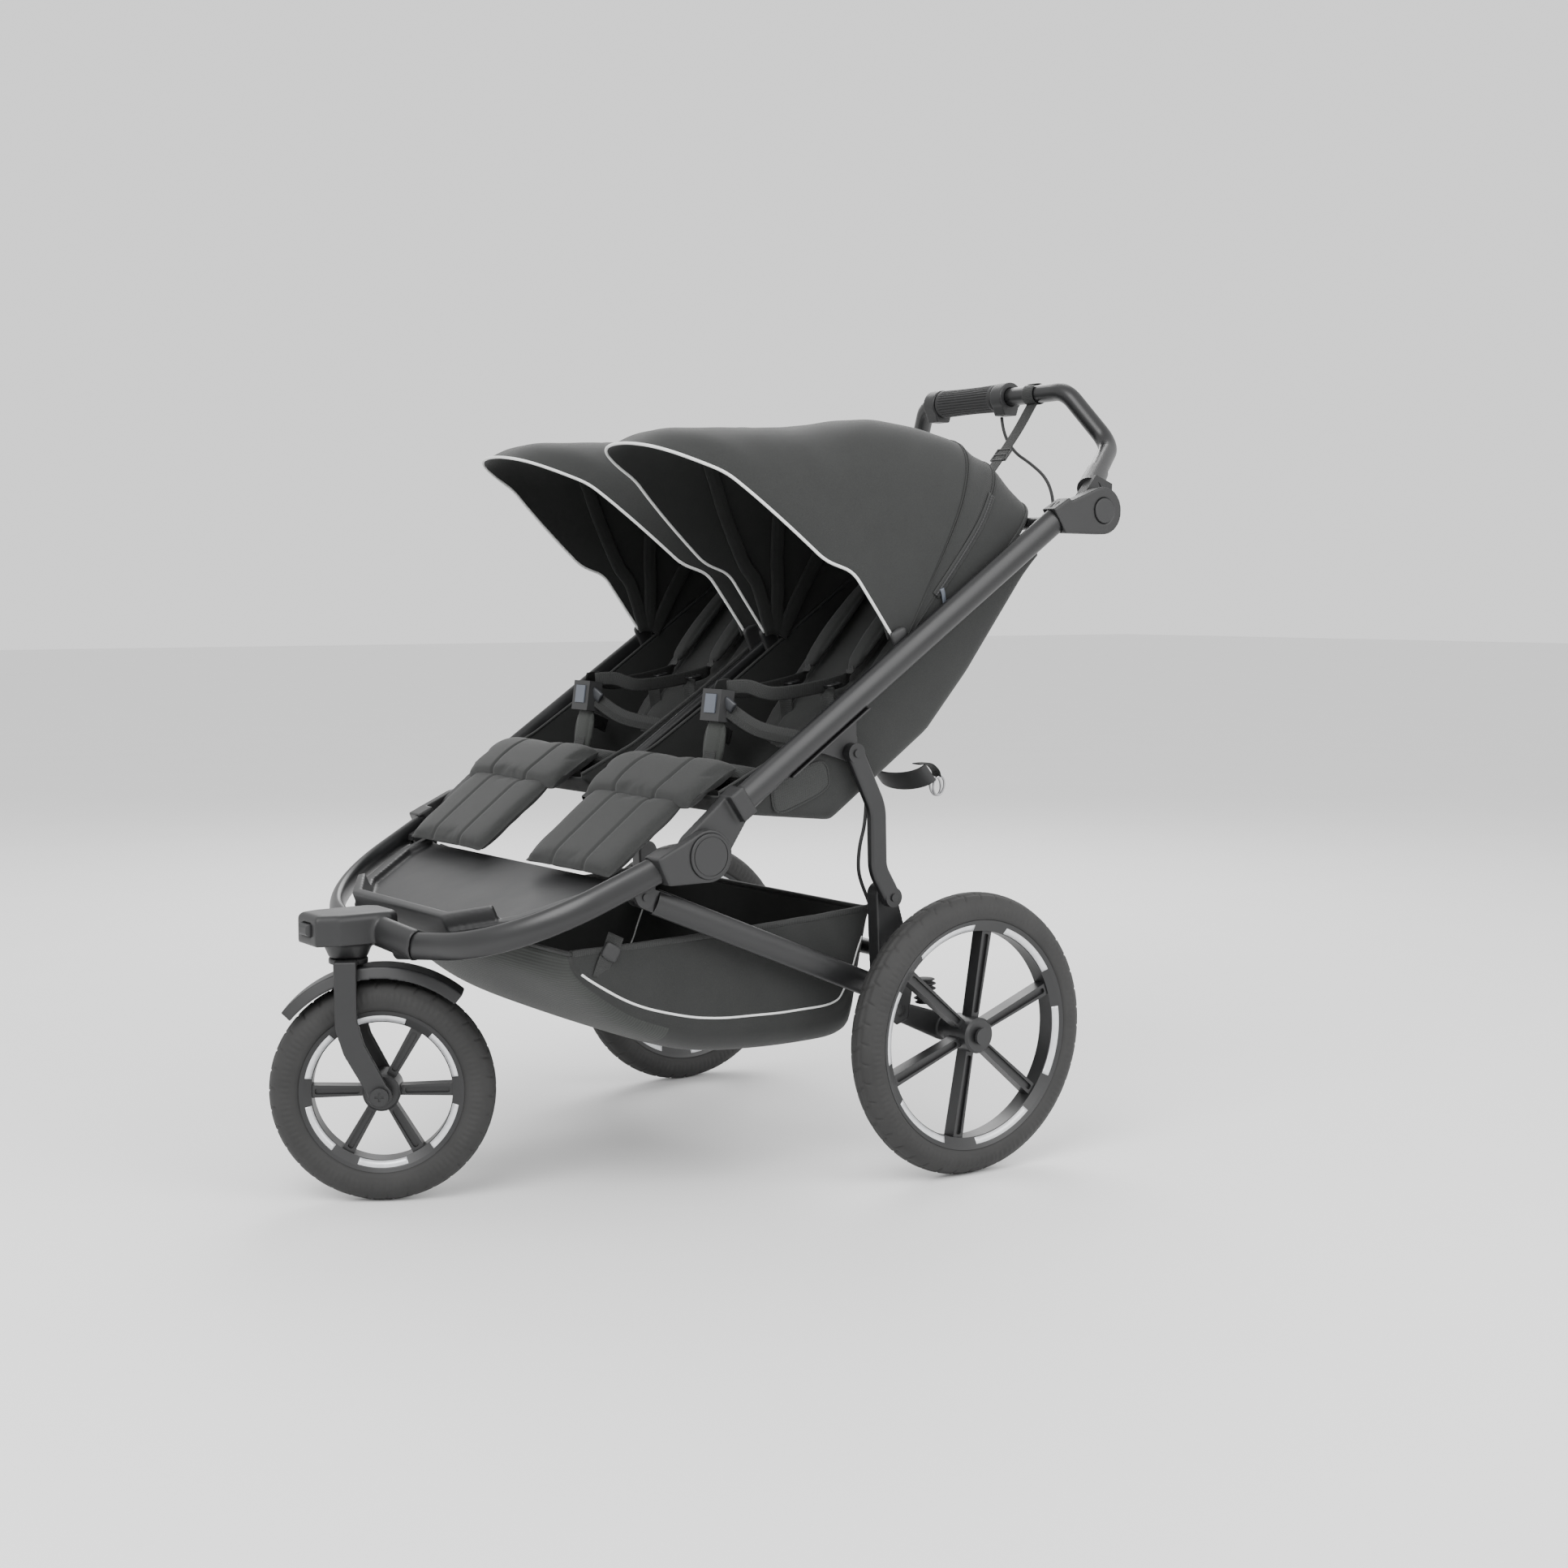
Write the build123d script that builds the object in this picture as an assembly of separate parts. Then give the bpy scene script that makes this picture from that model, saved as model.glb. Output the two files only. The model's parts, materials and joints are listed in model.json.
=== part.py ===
from build123d import *
import math
import os

# Side-by-side double jogging stroller. Millimetres, +Z up, the front wheel towards -Y, symmetric about X = 0.
# Everything is laid out from a datum on the floor below the main hinge region, and every node is then
# moved so that the origin is the middle of the footprint of the whole stroller.

# ---- wheels -------------------------------------------------------------------------------------------------
REAR_WHEEL_R = 198.0
REAR_TYRE_R = 24.0
REAR_RIM_R = 161.0
REAR_AXLE_Y = 322.0
REAR_TRACK = 736.0
FRONT_WHEEL_R = 150.0
FRONT_TYRE_R = 26.0
FRONT_RIM_R = 109.0
TYRE_WALL = 5.0
RIM_DEPTH = 16.0
SPOKES = 6
SPOKE_W = 17.0
HUB_R = 25.0
HUB_W = 52.0
AXLE_R = 6.0
RUNNING_GAP = 0.08
# ---- steering -----------------------------------------------------------------------------------------------
STEER_Y = -440.0
TRAIL = 43.0
STEER_REST_DEG = -30.6
STEM_R = 12.0
BUSH_WALL = 2.5
NECK_BOTTOM_Z = 329.0
HOUSING_BOTTOM_Z = 350.0
HOUSING_TOP_Z = 391.0
FORK_LEG_T = 9.0
FORK_HALF_W = 36.0
FENDER_GAP = 15.0
FENDER_T = 4.0
# ---- frame --------------------------------------------------------------------------------------------------
RAIL_X = 345.0
RAIL_H = 38.0
RAIL_W = 22.0
FRONT_TUBE_H = 36.0
FRONT_TUBE_W = 22.0
REAR_TUBE_H = 34.0
REAR_TUBE_W = 18.0
REAR_TUBE_X = 312.0
TUBE_WALL = 2.0
HINGE_Y, HINGE_Z = -102.0, 475.0
HINGE_R = 34.0
HINGE_PIN_R = 8.0
HINGE_CHEEK = 16.0
RAIL_LOW = (-52.0, 535.0)
RAIL_HIGH = (512.0, 924.0)
HANDLE_HINGE_Y, HANDLE_HINGE_Z = 578.0, 928.0
HANDLE_HINGE_R = 34.0
PIVOT_Y, PIVOT_Z = -176.0, 424.0
STRUT_TOP_Y, STRUT_TOP_Z = 140.0, 596.0
STRUT_LOW_Y, STRUT_LOW_Z = 204.0, 396.0
STRUT_H = 27.0
STRUT_W = 14.0
FOLD_DEG = 88.0
ARM_PIVOT_Y, ARM_PIVOT_Z = 236.0, 232.0
ARM_TRAVEL_DEG = 7.0
PART_GAP = 0.5
# ---- handlebar ----------------------------------------------------------------------------------------------
BAR_R = 14.0
BAR_HALF = 168.0
BAR_Y, BAR_Z = 676.0, 1118.0
KNEE_X, KNEE_Y, KNEE_Z = 236.0, 706.0, 1032.0
BAR_ARM_X = 330.0
HANDLE_UP_DEG, HANDLE_DOWN_DEG = 12.0, 45.0
GRIP_R = 22.0
# ---- seats and canopies -------------------------------------------------------------------------------------
SEAT_X = 178.0
SEAT_W = 300.0
SEAT_WALL = 5.0
RECLINE_DEG = 22.0
BACK_PIVOT_Y, BACK_PIVOT_Z = 146.0, 560.0
BACK_ANGLE_DEG = 49.0
BACK_LENGTH = 440.0
CANOPY_W = 308.0
CANOPY_WALL = 3.0
CANOPY_CROWN = 88.0
CANOPY_PIVOT_Y, CANOPY_PIVOT_Z = 214.0, 752.0
CANOPY_FOLD_DEG = 60.0
LEGREST_W = 240.0
BACK_ROD_R = 5.0

# ---- basket -------------------------------------------------------------------------------------------------
BASKET_W = 572.0
BASKET_WALL = 3.0

SIDES = {"left": -1, "right": 1}
nodes = {}


def add(name, shape):
    """Keep a finished shape under its node name."""
    nodes[name] = shape


def turned_x(y, z, angle_deg, centre_y, centre_z):
    """A point of the YZ plane turned about a cross axis."""
    a = math.radians(angle_deg)
    dy, dz = y - centre_y, z - centre_z
    return (
        centre_y + dy * math.cos(a) - dz * math.sin(a),
        centre_z + dy * math.sin(a) + dz * math.cos(a),
    )


def fold_linkage(fold_deg):
    """Angles of the strut and of the rear frame when the upper frame has turned by fold_deg.

    The rear frame turns about its front pivot, the strut hangs from the upper frame, and the two meet at
    the strut's lower bolt, so the bolt is where two circles cross.
    """
    top_y, top_z = turned_x(STRUT_TOP_Y, STRUT_TOP_Z, fold_deg, HINGE_Y, HINGE_Z)
    strut_len = math.hypot(STRUT_LOW_Y - STRUT_TOP_Y, STRUT_LOW_Z - STRUT_TOP_Z)
    rear_len = math.hypot(STRUT_LOW_Y - PIVOT_Y, STRUT_LOW_Z - PIVOT_Z)
    dy, dz = top_y - PIVOT_Y, top_z - PIVOT_Z
    span = math.hypot(dy, dz)
    cos_at_pivot = (rear_len**2 + span**2 - strut_len**2) / (2 * rear_len * span)
    bolt_angle = math.atan2(dz, dy) - math.acos(cos_at_pivot)
    rest_angle = math.atan2(STRUT_LOW_Z - PIVOT_Z, STRUT_LOW_Y - PIVOT_Y)
    bolt_y = PIVOT_Y + rear_len * math.cos(bolt_angle)
    bolt_z = PIVOT_Z + rear_len * math.sin(bolt_angle)
    strut_rest = math.atan2(STRUT_LOW_Z - STRUT_TOP_Z, STRUT_LOW_Y - STRUT_TOP_Y)
    strut_now = math.atan2(bolt_z - top_z, bolt_y - top_y)
    rear_turn = math.degrees(bolt_angle - rest_angle)
    strut_turn = math.degrees(strut_now - strut_rest) - fold_deg
    return rear_turn, (strut_turn + 180) % 360 - 180


REAR_TURN_DEG, STRUT_TURN_DEG = fold_linkage(FOLD_DEG)


def side_plane(x):
    """The YZ plane at x: its local x runs along +Y, its local y along +Z and its normal along +X."""
    return Plane(origin=(x, 0, 0), x_dir=(0, 1, 0), z_dir=(1, 0, 0))


def plate(outline, x0, x1):
    """A closed YZ outline, as a list of points or a sketch, made solid between two X places."""
    face = make_face(Polyline(*outline, close=True)) if isinstance(outline, list) else outline
    return extrude(side_plane(min(x0, x1)) * face, abs(x1 - x0))


def disc(y, z, radius, x0, x1):
    """A round along X."""
    return plate(Pos(y, z) * Circle(radius), x0, x1)


def swept(section, points, radii):
    """A section carried along straight runs joined by tangent arcs."""
    path = FilletPolyline(*points, radius=radii) if len(points) > 2 else Line(*points)
    start = path % 0
    side = Vector(1, 0, 0) if abs(start.X) < 0.5 else Vector(0, 1, 0)
    across = (side - start * side.dot(start)).normalized()
    return sweep(Plane(origin=path @ 0, x_dir=across, z_dir=start) * section, path)


def oval_tube(width, height):
    """The hollow oval section of a frame tube; the width lies across the stroller."""
    outer = Ellipse(width / 2, height / 2)
    return outer - Ellipse(width / 2 - TUBE_WALL, height / 2 - TUBE_WALL)


def mirrored(shape):
    """The other side's copy."""
    return mirror(shape, about=Plane.YZ)


def pair(maker):
    """The right-hand shape and its mirror image as two solids of one node."""
    right = maker()
    return Compound(children=[*right.solids(), *mirrored(right).solids()])


# ---- wheels: made round the X axis at the origin -------------------------------------------------------------
def tyre(wheel_r, tyre_r, rim_r):
    """A hollow tyre, open towards the rim, with a slightly flat tread."""
    ring = Pos(0, wheel_r - tyre_r) * (Circle(tyre_r) - Circle(tyre_r - TYRE_WALL))
    ring -= Pos(0, rim_r / 2) * Rectangle(4 * tyre_r, rim_r)
    return revolve(ring, Axis.X)


def rim(wheel_r, tyre_r, rim_r, phase_deg):
    """A rim with a hub, channelled spokes and a valve. The spokes repeat round the axle."""
    bed = math.sqrt(tyre_r**2 - (wheel_r - tyre_r - rim_r) ** 2)
    inner = rim_r - RIM_DEPTH
    hoop = make_face(
        Polyline(
            (-bed, rim_r - RUNNING_GAP),
            (bed, rim_r - RUNNING_GAP),
            (bed - 2, rim_r - 5),
            (bed - 8, inner),
            (8 - bed, inner),
            (2 - bed, rim_r - 5),
            close=True,
        )
    )
    body = revolve(hoop, Axis.X)
    hub = extrude(side_plane(-HUB_W / 2) * Circle(HUB_R), HUB_W)
    hub = chamfer(hub.edges().filter_by(GeomType.CIRCLE), 3)
    body += hub
    reach = inner + 2
    spoke = make_face(
        Polyline(
            (HUB_R - 4, -SPOKE_W / 2 + 2),
            (reach, -SPOKE_W / 2),
            (reach, SPOKE_W / 2),
            (HUB_R - 4, SPOKE_W / 2 - 2),
            close=True,
        )
    )
    channel = Pos((HUB_R + 5 + inner - 4) / 2, 0) * RectangleRounded(inner - HUB_R - 9, SPOKE_W - 9, 3)
    beam = extrude(side_plane(-10) * spoke, 20)
    for place in (-10, 6):
        beam -= extrude(side_plane(place) * channel, 4)
    for n in range(SPOKES):
        body += Rot(phase_deg + n * 360 / SPOKES, 0, 0) * beam
    body -= extrude(side_plane(-HUB_W) * Circle(AXLE_R + RUNNING_GAP), 2 * HUB_W)
    valve_turn = Rot(phase_deg + 180 / SPOKES, 0, 0)
    valve = Pos(0, 0, inner - 14) * Cylinder(3.2, 26)
    return Compound(children=[*(body - valve_turn * Pos(0, 0, inner - 1) * Cylinder(3.4, 40)).solids(),
                              *(valve_turn * valve).solids()])


def at_rear_wheel(side, shape):
    return Pos(side * REAR_TRACK / 2, REAR_AXLE_Y, REAR_WHEEL_R) * shape


def steered(shape):
    """From the fork's own frame (steering axis on Z, wheel behind it) to its place on the stroller."""
    return Pos(0, STEER_Y, 0) * Rot(0, 0, STEER_REST_DEG) * shape


for name, side in SIDES.items():
    add(f"rear_tyre_{name}", at_rear_wheel(side, tyre(REAR_WHEEL_R, REAR_TYRE_R, REAR_RIM_R)))
    add(f"rear_rim_{name}", at_rear_wheel(side, rim(REAR_WHEEL_R, REAR_TYRE_R, REAR_RIM_R, 20)))
front_place = Pos(0, TRAIL, FRONT_WHEEL_R)
add("front_tyre", steered(front_place * tyre(FRONT_WHEEL_R, FRONT_TYRE_R, FRONT_RIM_R)))
add("front_rim", steered(front_place * rim(FRONT_WHEEL_R, FRONT_TYRE_R, FRONT_RIM_R, 0)))


# ---- fork, fender, axle --------------------------------------------------------------------------------------
def fork():
    crown_z = NECK_BOTTOM_Z - PART_GAP
    leg_x = FORK_HALF_W
    outline = make_face(
        Polyline(
            (-15, crown_z),
            (-14, 240),
            (-3, 205),
            (TRAIL - 15, FRONT_WHEEL_R),
            (TRAIL + 14, FRONT_WHEEL_R + 4),
            (24, 218),
            (15, 250),
            (15, crown_z),
            close=True,
        )
    )
    outline = fillet(outline.vertices().sort_by(Axis.Y)[2:6], 14)
    outline += Pos(TRAIL, FRONT_WHEEL_R) * Circle(16)
    body = Part()
    for side in (-1, 1):
        body += plate(outline, side * leg_x, side * (leg_x + FORK_LEG_T))
    body += plate([(-15, crown_z - 8), (15, crown_z - 8), (15, crown_z), (-15, crown_z)], -leg_x - 1, leg_x + 1)
    body += Pos(0, 0, crown_z - 4) * Cylinder(26, 8)
    stem_h = HOUSING_TOP_Z - 12 - crown_z
    body += Pos(0, 0, crown_z + stem_h / 2) * Cylinder(STEM_R, stem_h)
    body -= Pos(0, TRAIL, FRONT_WHEEL_R) * Rot(0, 90, 0) * Cylinder(AXLE_R + 0.02, 200)
    return body


def fender():
    """A curved guard concentric with the front wheel, with turned-down sides."""
    inner = FRONT_WHEEL_R + FENDER_GAP
    half = FRONT_TYRE_R + 4
    profile = make_face(
        Polyline(
            (-half, inner - 12),
            (-half + FENDER_T, inner - 12),
            (-half + FENDER_T + 3, inner),
            (half - FENDER_T - 3, inner),
            (half - FENDER_T, inner - 12),
            (half, inner - 12),
            (half - 6, inner + FENDER_T),
            (6 - half, inner + FENDER_T),
            close=True,
        )
    )
    guard = revolve(profile, Axis.X, 90)
    # the profile starts on +Y; the guard is turned to reach from behind the fork to ahead of it
    return Rot(50, 0, 0) * guard


def front_axle():
    shaft = Rot(0, 90, 0) * Cylinder(AXLE_R, 2 * (FORK_HALF_W + FORK_LEG_T))
    caps = Part()
    for side in (-1, 1):
        cap = Pos(side * (FORK_HALF_W + FORK_LEG_T + 3), 0, 0) * Rot(0, 90, 0) * Cylinder(12, 6)
        caps += cap
    cross = Box(2.5, 12, 3) + Box(2.5, 3, 12)
    face_x = FORK_HALF_W + FORK_LEG_T + 6
    caps -= Pos(face_x, 0, 0) * cross
    spacers = Part()
    for side in (-1, 1):
        width = FORK_HALF_W - HUB_W / 2 - 2 * PART_GAP
        middle = side * (HUB_W / 2 + PART_GAP + width / 2)
        spacers += Pos(middle, 0, 0) * Rot(0, 90, 0) * Cylinder(AXLE_R + 4, width)
    return shaft + caps + spacers


add("fork", steered(fork()))
add("front_fender", steered(front_place * fender()))
add("front_axle", steered(front_place * front_axle()))

# ---- caster housing ------------------------------------------------------------------------------------------
TUBE_START = (98.0, -394.0, 352.0)
TUBE_CORNER = (285.0, -352.0, 371.0)
TUBE_END = (338.0, -166.0, 461.0)


def front_tube_section():
    return oval_tube(FRONT_TUBE_W, FRONT_TUBE_H)


def front_tube(section):
    """From inside the caster housing outwards, round one wide bend and back to the lower hinge casting."""
    start = Vector(*TUBE_START)
    outward = (Vector(*TUBE_CORNER) - start).normalized()
    inside = start - outward * 30
    path = FilletPolyline(inside, Vector(*TUBE_CORNER), Vector(*TUBE_END), radius=210)
    tangent = path % 0
    flat = Vector(0, 0, 1).cross(tangent).normalized()
    return sweep(Plane(origin=path @ 0, x_dir=flat, z_dir=tangent) * section, path)


def caster_housing():
    mid_z = (HOUSING_BOTTOM_Z + HOUSING_TOP_Z) / 2
    height = HOUSING_TOP_Z - HOUSING_BOTTOM_Z
    nose = make_face(
        Polyline((-30, -498), (30, -498), (40, -470), (40, -395), (26, -380), (-26, -380), (-40, -395), (-40, -470),
                 close=True)
    )
    body = Pos(0, 0, HOUSING_BOTTOM_Z) * extrude(nose, height)
    body = fillet(body.edges().group_by(Axis.Z)[-1], 9)
    arm = Ellipse(FRONT_TUBE_W / 2 + 4, FRONT_TUBE_H / 2 + 3)
    start = Vector(*TUBE_START)
    outward = (Vector(*TUBE_CORNER) - start).normalized()
    for side in (-1, 1):
        root = Vector(16, -412, mid_z - 4)
        tip = start + outward * 10
        path = Line(root, tip)
        flat = Vector(0, 0, 1).cross(path % 0).normalized()
        horn = sweep(Plane(origin=root, x_dir=flat, z_dir=path % 0) * arm, path)
        body += horn if side > 0 else mirrored(horn)
    neck = Pos(0, STEER_Y, (NECK_BOTTOM_Z + HOUSING_BOTTOM_Z) / 2) * Cone(
        25, 34, HOUSING_BOTTOM_Z - NECK_BOTTOM_Z
    )
    body += neck
    plug = front_tube(Ellipse(FRONT_TUBE_W / 2 + 0.05, FRONT_TUBE_H / 2 + 0.05))
    body -= plug
    body -= mirrored(plug)
    bore_r = STEM_R + BUSH_WALL + 0.05
    bore_h = HOUSING_TOP_Z - 10 - NECK_BOTTOM_Z
    body -= Pos(0, STEER_Y, NECK_BOTTOM_Z + bore_h / 2 - 1) * Cylinder(bore_r, bore_h + 2)
    body -= Pos(0, -484, mid_z) * Box(30.6, 40, 16.6)
    return body


add("caster_housing", caster_housing())
bush = Cylinder(STEM_R + BUSH_WALL, 12) - Cylinder(STEM_R + RUNNING_GAP, 14)
add(
    "steering_bushes",
    Compound(
        children=[
            *(Pos(0, STEER_Y, NECK_BOTTOM_Z + 7) * bush).solids(),
            *(Pos(0, STEER_Y, HOUSING_TOP_Z - 18) * bush).solids(),
        ]
    ),
)
LOCK_TRAVEL = 6.0
LOCK_Y = -466.0 - LOCK_TRAVEL
lock = Pos(0, LOCK_Y - 16, (HOUSING_BOTTOM_Z + HOUSING_TOP_Z) / 2) * Box(30, 32, 16)
add("swivel_lock_button", fillet(lock.edges().group_by(Axis.Y)[0], 5))
for name, side in SIDES.items():
    shape = front_tube(front_tube_section())
    add(f"front_tube_{name}", shape if side > 0 else mirrored(shape))


# ---- fold hinges ---------------------------------------------------------------------------------------------
def tapered_lug(centre, radius, tip_a, tip_b, x0, x1):
    """A round eye joined by a tapering web to the line between two tip points."""
    centre_vec = Vector(centre[0], centre[1])
    hull = make_hull(
        [*(Pos(centre_vec) * Circle(radius)).edges(), Line((*tip_a, 0), (*tip_b, 0))]
    )
    return plate(hull, x0, x1)


def along(direction, y, z, forward, up):
    """A point offset from (y, z) along a unit direction of the side plane and square to it."""
    dy, dz = direction
    return (y + forward * dy - up * dz, z + forward * dz + up * dy)


def unit(y, z):
    length = math.hypot(y, z)
    return (y / length, z / length)


RAIL_DIR = unit(RAIL_HIGH[0] - RAIL_LOW[0], RAIL_HIGH[1] - RAIL_LOW[1])
TUBE_END_DIR = unit(TUBE_CORNER[1] - TUBE_END[1], TUBE_CORNER[2] - TUBE_END[2])


def lower_hinge_casting():
    """Outer cheek of the fold hinge with the socket that the front tube plugs into."""
    outer = RAIL_X + HINGE_CHEEK
    half = FRONT_TUBE_H / 2 + 1.5
    tip = along(TUBE_END_DIR, TUBE_END[1], TUBE_END[2], 6, 0)
    top = along(TUBE_END_DIR, *tip, 0, -half)
    bottom = along(TUBE_END_DIR, *tip, 0, half)
    cheek = tapered_lug((HINGE_Y, HINGE_Z), HINGE_R, top, bottom, RAIL_X + PART_GAP, outer)
    inner_x = TUBE_END[0] - FRONT_TUBE_W / 2 - 2
    back = along(TUBE_END_DIR, *tip, -26, 0)
    block = [top, bottom, along(TUBE_END_DIR, *back, 0, half), along(TUBE_END_DIR, *back, 0, -half)]
    body = cheek + plate(block, inner_x, outer)
    body -= disc(HINGE_Y, HINGE_Z, HINGE_PIN_R + RUNNING_GAP, RAIL_X - 40, RAIL_X + 60)
    body -= disc(HINGE_Y, HINGE_Z, HINGE_R - 4, outer - 2, outer + 10)
    return body - front_tube(Ellipse(FRONT_TUBE_W / 2 + 0.05, FRONT_TUBE_H / 2 + 0.05))


def upper_hinge_casting():
    """Inner cheek of the fold hinge with the socket of the rail, and the strut's bracket on the rail."""
    inner = RAIL_X - HINGE_CHEEK
    half = RAIL_H / 2 + 1.5
    tip = along(RAIL_DIR, *RAIL_LOW, 18, 0)
    top = along(RAIL_DIR, *tip, 0, half)
    bottom = along(RAIL_DIR, *tip, 0, -half)
    cheek = tapered_lug((HINGE_Y, HINGE_Z), HINGE_R, top, bottom, inner, RAIL_X - PART_GAP)
    heel = along(RAIL_DIR, *RAIL_LOW, -6, 0)
    block = [top, bottom, along(RAIL_DIR, *heel, 0, -half), along(RAIL_DIR, *heel, 0, half)]
    body = cheek + plate(block, inner, RAIL_X + RAIL_W / 2 + 2)
    body -= disc(HINGE_Y, HINGE_Z, HINGE_PIN_R + RUNNING_GAP, RAIL_X - 60, RAIL_X + 60)
    return body - rail(Ellipse(RAIL_W / 2 + 0.05, RAIL_H / 2 + 0.05))


def rail(section):
    low = Vector(RAIL_X, *RAIL_LOW)
    high = Vector(RAIL_X, *RAIL_HIGH)
    return swept(section, [low, high], 0)


def strut_bracket():
    """The plate and strip under the rail that carries the strut's upper bolt."""
    up = -(RAIL_H / 2 + 1)
    foot = (STRUT_TOP_Y - 8, STRUT_TOP_Z - 2)
    reach = (foot[0] - RAIL_LOW[0]) * RAIL_DIR[0] + (foot[1] - RAIL_LOW[1]) * RAIL_DIR[1]
    a = along(RAIL_DIR, *RAIL_LOW, reach - 40, up)
    b = along(RAIL_DIR, *RAIL_LOW, reach + 46, up)
    lug = tapered_lug((STRUT_TOP_Y, STRUT_TOP_Z), 13, a, b, RAIL_X - 15, RAIL_X - 15 + 6)
    strip_a = along(RAIL_DIR, *RAIL_LOW, reach - 95, up)
    strip_b = along(RAIL_DIR, *RAIL_LOW, reach + 60, up)
    strip = [strip_a, strip_b, along(RAIL_DIR, *strip_b, 0, -3), along(RAIL_DIR, *strip_a, 0, -3)]
    body = lug + plate(strip, RAIL_X - 15, RAIL_X + 8)
    return body - disc(STRUT_TOP_Y, STRUT_TOP_Z, 4 + 0.02, RAIL_X - 40, RAIL_X + 40)


def hinge_pin():
    outer = RAIL_X + HINGE_CHEEK
    pin = disc(HINGE_Y, HINGE_Z, HINGE_PIN_R, RAIL_X - HINGE_CHEEK - 2, outer - 1)
    cap = disc(HINGE_Y, HINGE_Z, HINGE_R - 4.2, outer - 2, outer + 2)
    cap = fillet(cap.edges().group_by(Axis.X)[-1], 1.5)
    ring = disc(HINGE_Y, HINGE_Z, HINGE_R - 8, outer + 1.2, outer + 3)
    ring -= disc(HINGE_Y, HINGE_Z, HINGE_R - 9.5, outer, outer + 4)
    return pin + cap - ring


add("fold_hinge_sockets", pair(lower_hinge_casting))
add(
    "rail_fittings",
    Compound(children=[*pair(upper_hinge_casting).solids(), *pair(strut_bracket).solids()]),
)
add("fold_hinge_pins", pair(hinge_pin))
for name, side in SIDES.items():
    shape = rail(oval_tube(RAIL_W, RAIL_H))
    add(f"rail_{name}", shape if side > 0 else mirrored(shape))

# ---- centre rail and upper cross bar -------------------------------------------------------------------------
CROSS_R = 9.0
CROSS_Y, CROSS_Z = along(RAIL_DIR, *RAIL_HIGH, -26, 0)
CENTRE_LOW = along(RAIL_DIR, *RAIL_LOW, -30, -2)
cross_half = RAIL_X - RAIL_W / 2 - 2.3
add("upper_cross_bar", Pos(0, CROSS_Y, CROSS_Z) * Rot(0, 90, 0) * Cylinder(CROSS_R, 2 * cross_half))
centre_high = along(RAIL_DIR, CROSS_Y, CROSS_Z, -CROSS_R - 0.3, 0)
add(
    "centre_rail",
    swept(oval_tube(16, 20), [Vector(0, *CENTRE_LOW), Vector(0, *centre_high)], 0),
)


# ---- rear frame ----------------------------------------------------------------------------------------------
REAR_TUBE_END = (224.0, 258.0)
REAR_DIR = unit(REAR_TUBE_END[0] - PIVOT_Y, REAR_TUBE_END[1] - PIVOT_Z)


def rear_tube(section, from_pivot=22.0):
    start = along(REAR_DIR, PIVOT_Y, PIVOT_Z, from_pivot, 0)
    return swept(section, [Vector(REAR_TUBE_X, *start), Vector(REAR_TUBE_X, *REAR_TUBE_END)], 0)


def rear_tube_with_eye():
    """The lower rear tube and the flat eye at its front end that turns on the pivot shoe."""
    eye = tapered_lug(
        (PIVOT_Y, PIVOT_Z),
        14,
        along(REAR_DIR, PIVOT_Y, PIVOT_Z, 40, 15),
        along(REAR_DIR, PIVOT_Y, PIVOT_Z, 40, -15),
        REAR_TUBE_X - 5,
        REAR_TUBE_X + 5,
    )
    full = rear_tube(Ellipse(REAR_TUBE_W / 2, REAR_TUBE_H / 2))
    inside = rear_tube(Ellipse(REAR_TUBE_W / 2 - TUBE_WALL, REAR_TUBE_H / 2 - TUBE_WALL), 60)
    bored = disc(PIVOT_Y, PIVOT_Z, 5 + RUNNING_GAP, REAR_TUBE_X - 20, REAR_TUBE_X + 20)
    return full + eye - inside - bored


SHOE_CLEAR = REAR_TUBE_H / 2 + 1.3


def turned_direction(direction, angle_deg):
    """A direction (y, z) turned about X."""
    return turned_x(*direction, angle_deg, 0, 0)


def pivot_shoe():
    """Plastic shoe under the front tube: two cheeks and a cross pin for the lower rear tube's eye."""
    inner, outer = REAR_TUBE_X - 12, REAR_TUBE_X + 12
    top = FRONT_TUBE_H / 2 - 4
    body = Part()
    tip_a = (PIVOT_Y - 26, PIVOT_Z + 24)
    tip_b = (PIVOT_Y + 16, PIVOT_Z + 44)
    for x0, x1 in ((inner, REAR_TUBE_X - 5 - PART_GAP), (REAR_TUBE_X + 5 + PART_GAP, outer)):
        body += tapered_lug((PIVOT_Y, PIVOT_Z), top, tip_a, tip_b, x0, x1)
    body += plate([tip_a, tip_b, (tip_b[0], tip_b[1] - 10), (tip_a[0], tip_a[1] - 8)], inner, outer)
    swung = turned_direction(REAR_DIR, REAR_TURN_DEG + 1)
    reach = [(0, -60), (0, SHOE_CLEAR), (90, SHOE_CLEAR), (90, -60)]
    path_of_tube = plate([along(swung, PIVOT_Y, PIVOT_Z, *p) for p in reach], inner - 1, outer + 1)
    body -= path_of_tube - disc(PIVOT_Y, PIVOT_Z, 20.5, inner - 2, outer + 2)
    body += disc(PIVOT_Y, PIVOT_Z, 5, inner - 2, outer + 2)
    return body - front_tube(Ellipse(FRONT_TUBE_W / 2 + 0.3, FRONT_TUBE_H / 2 + 0.3))


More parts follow.
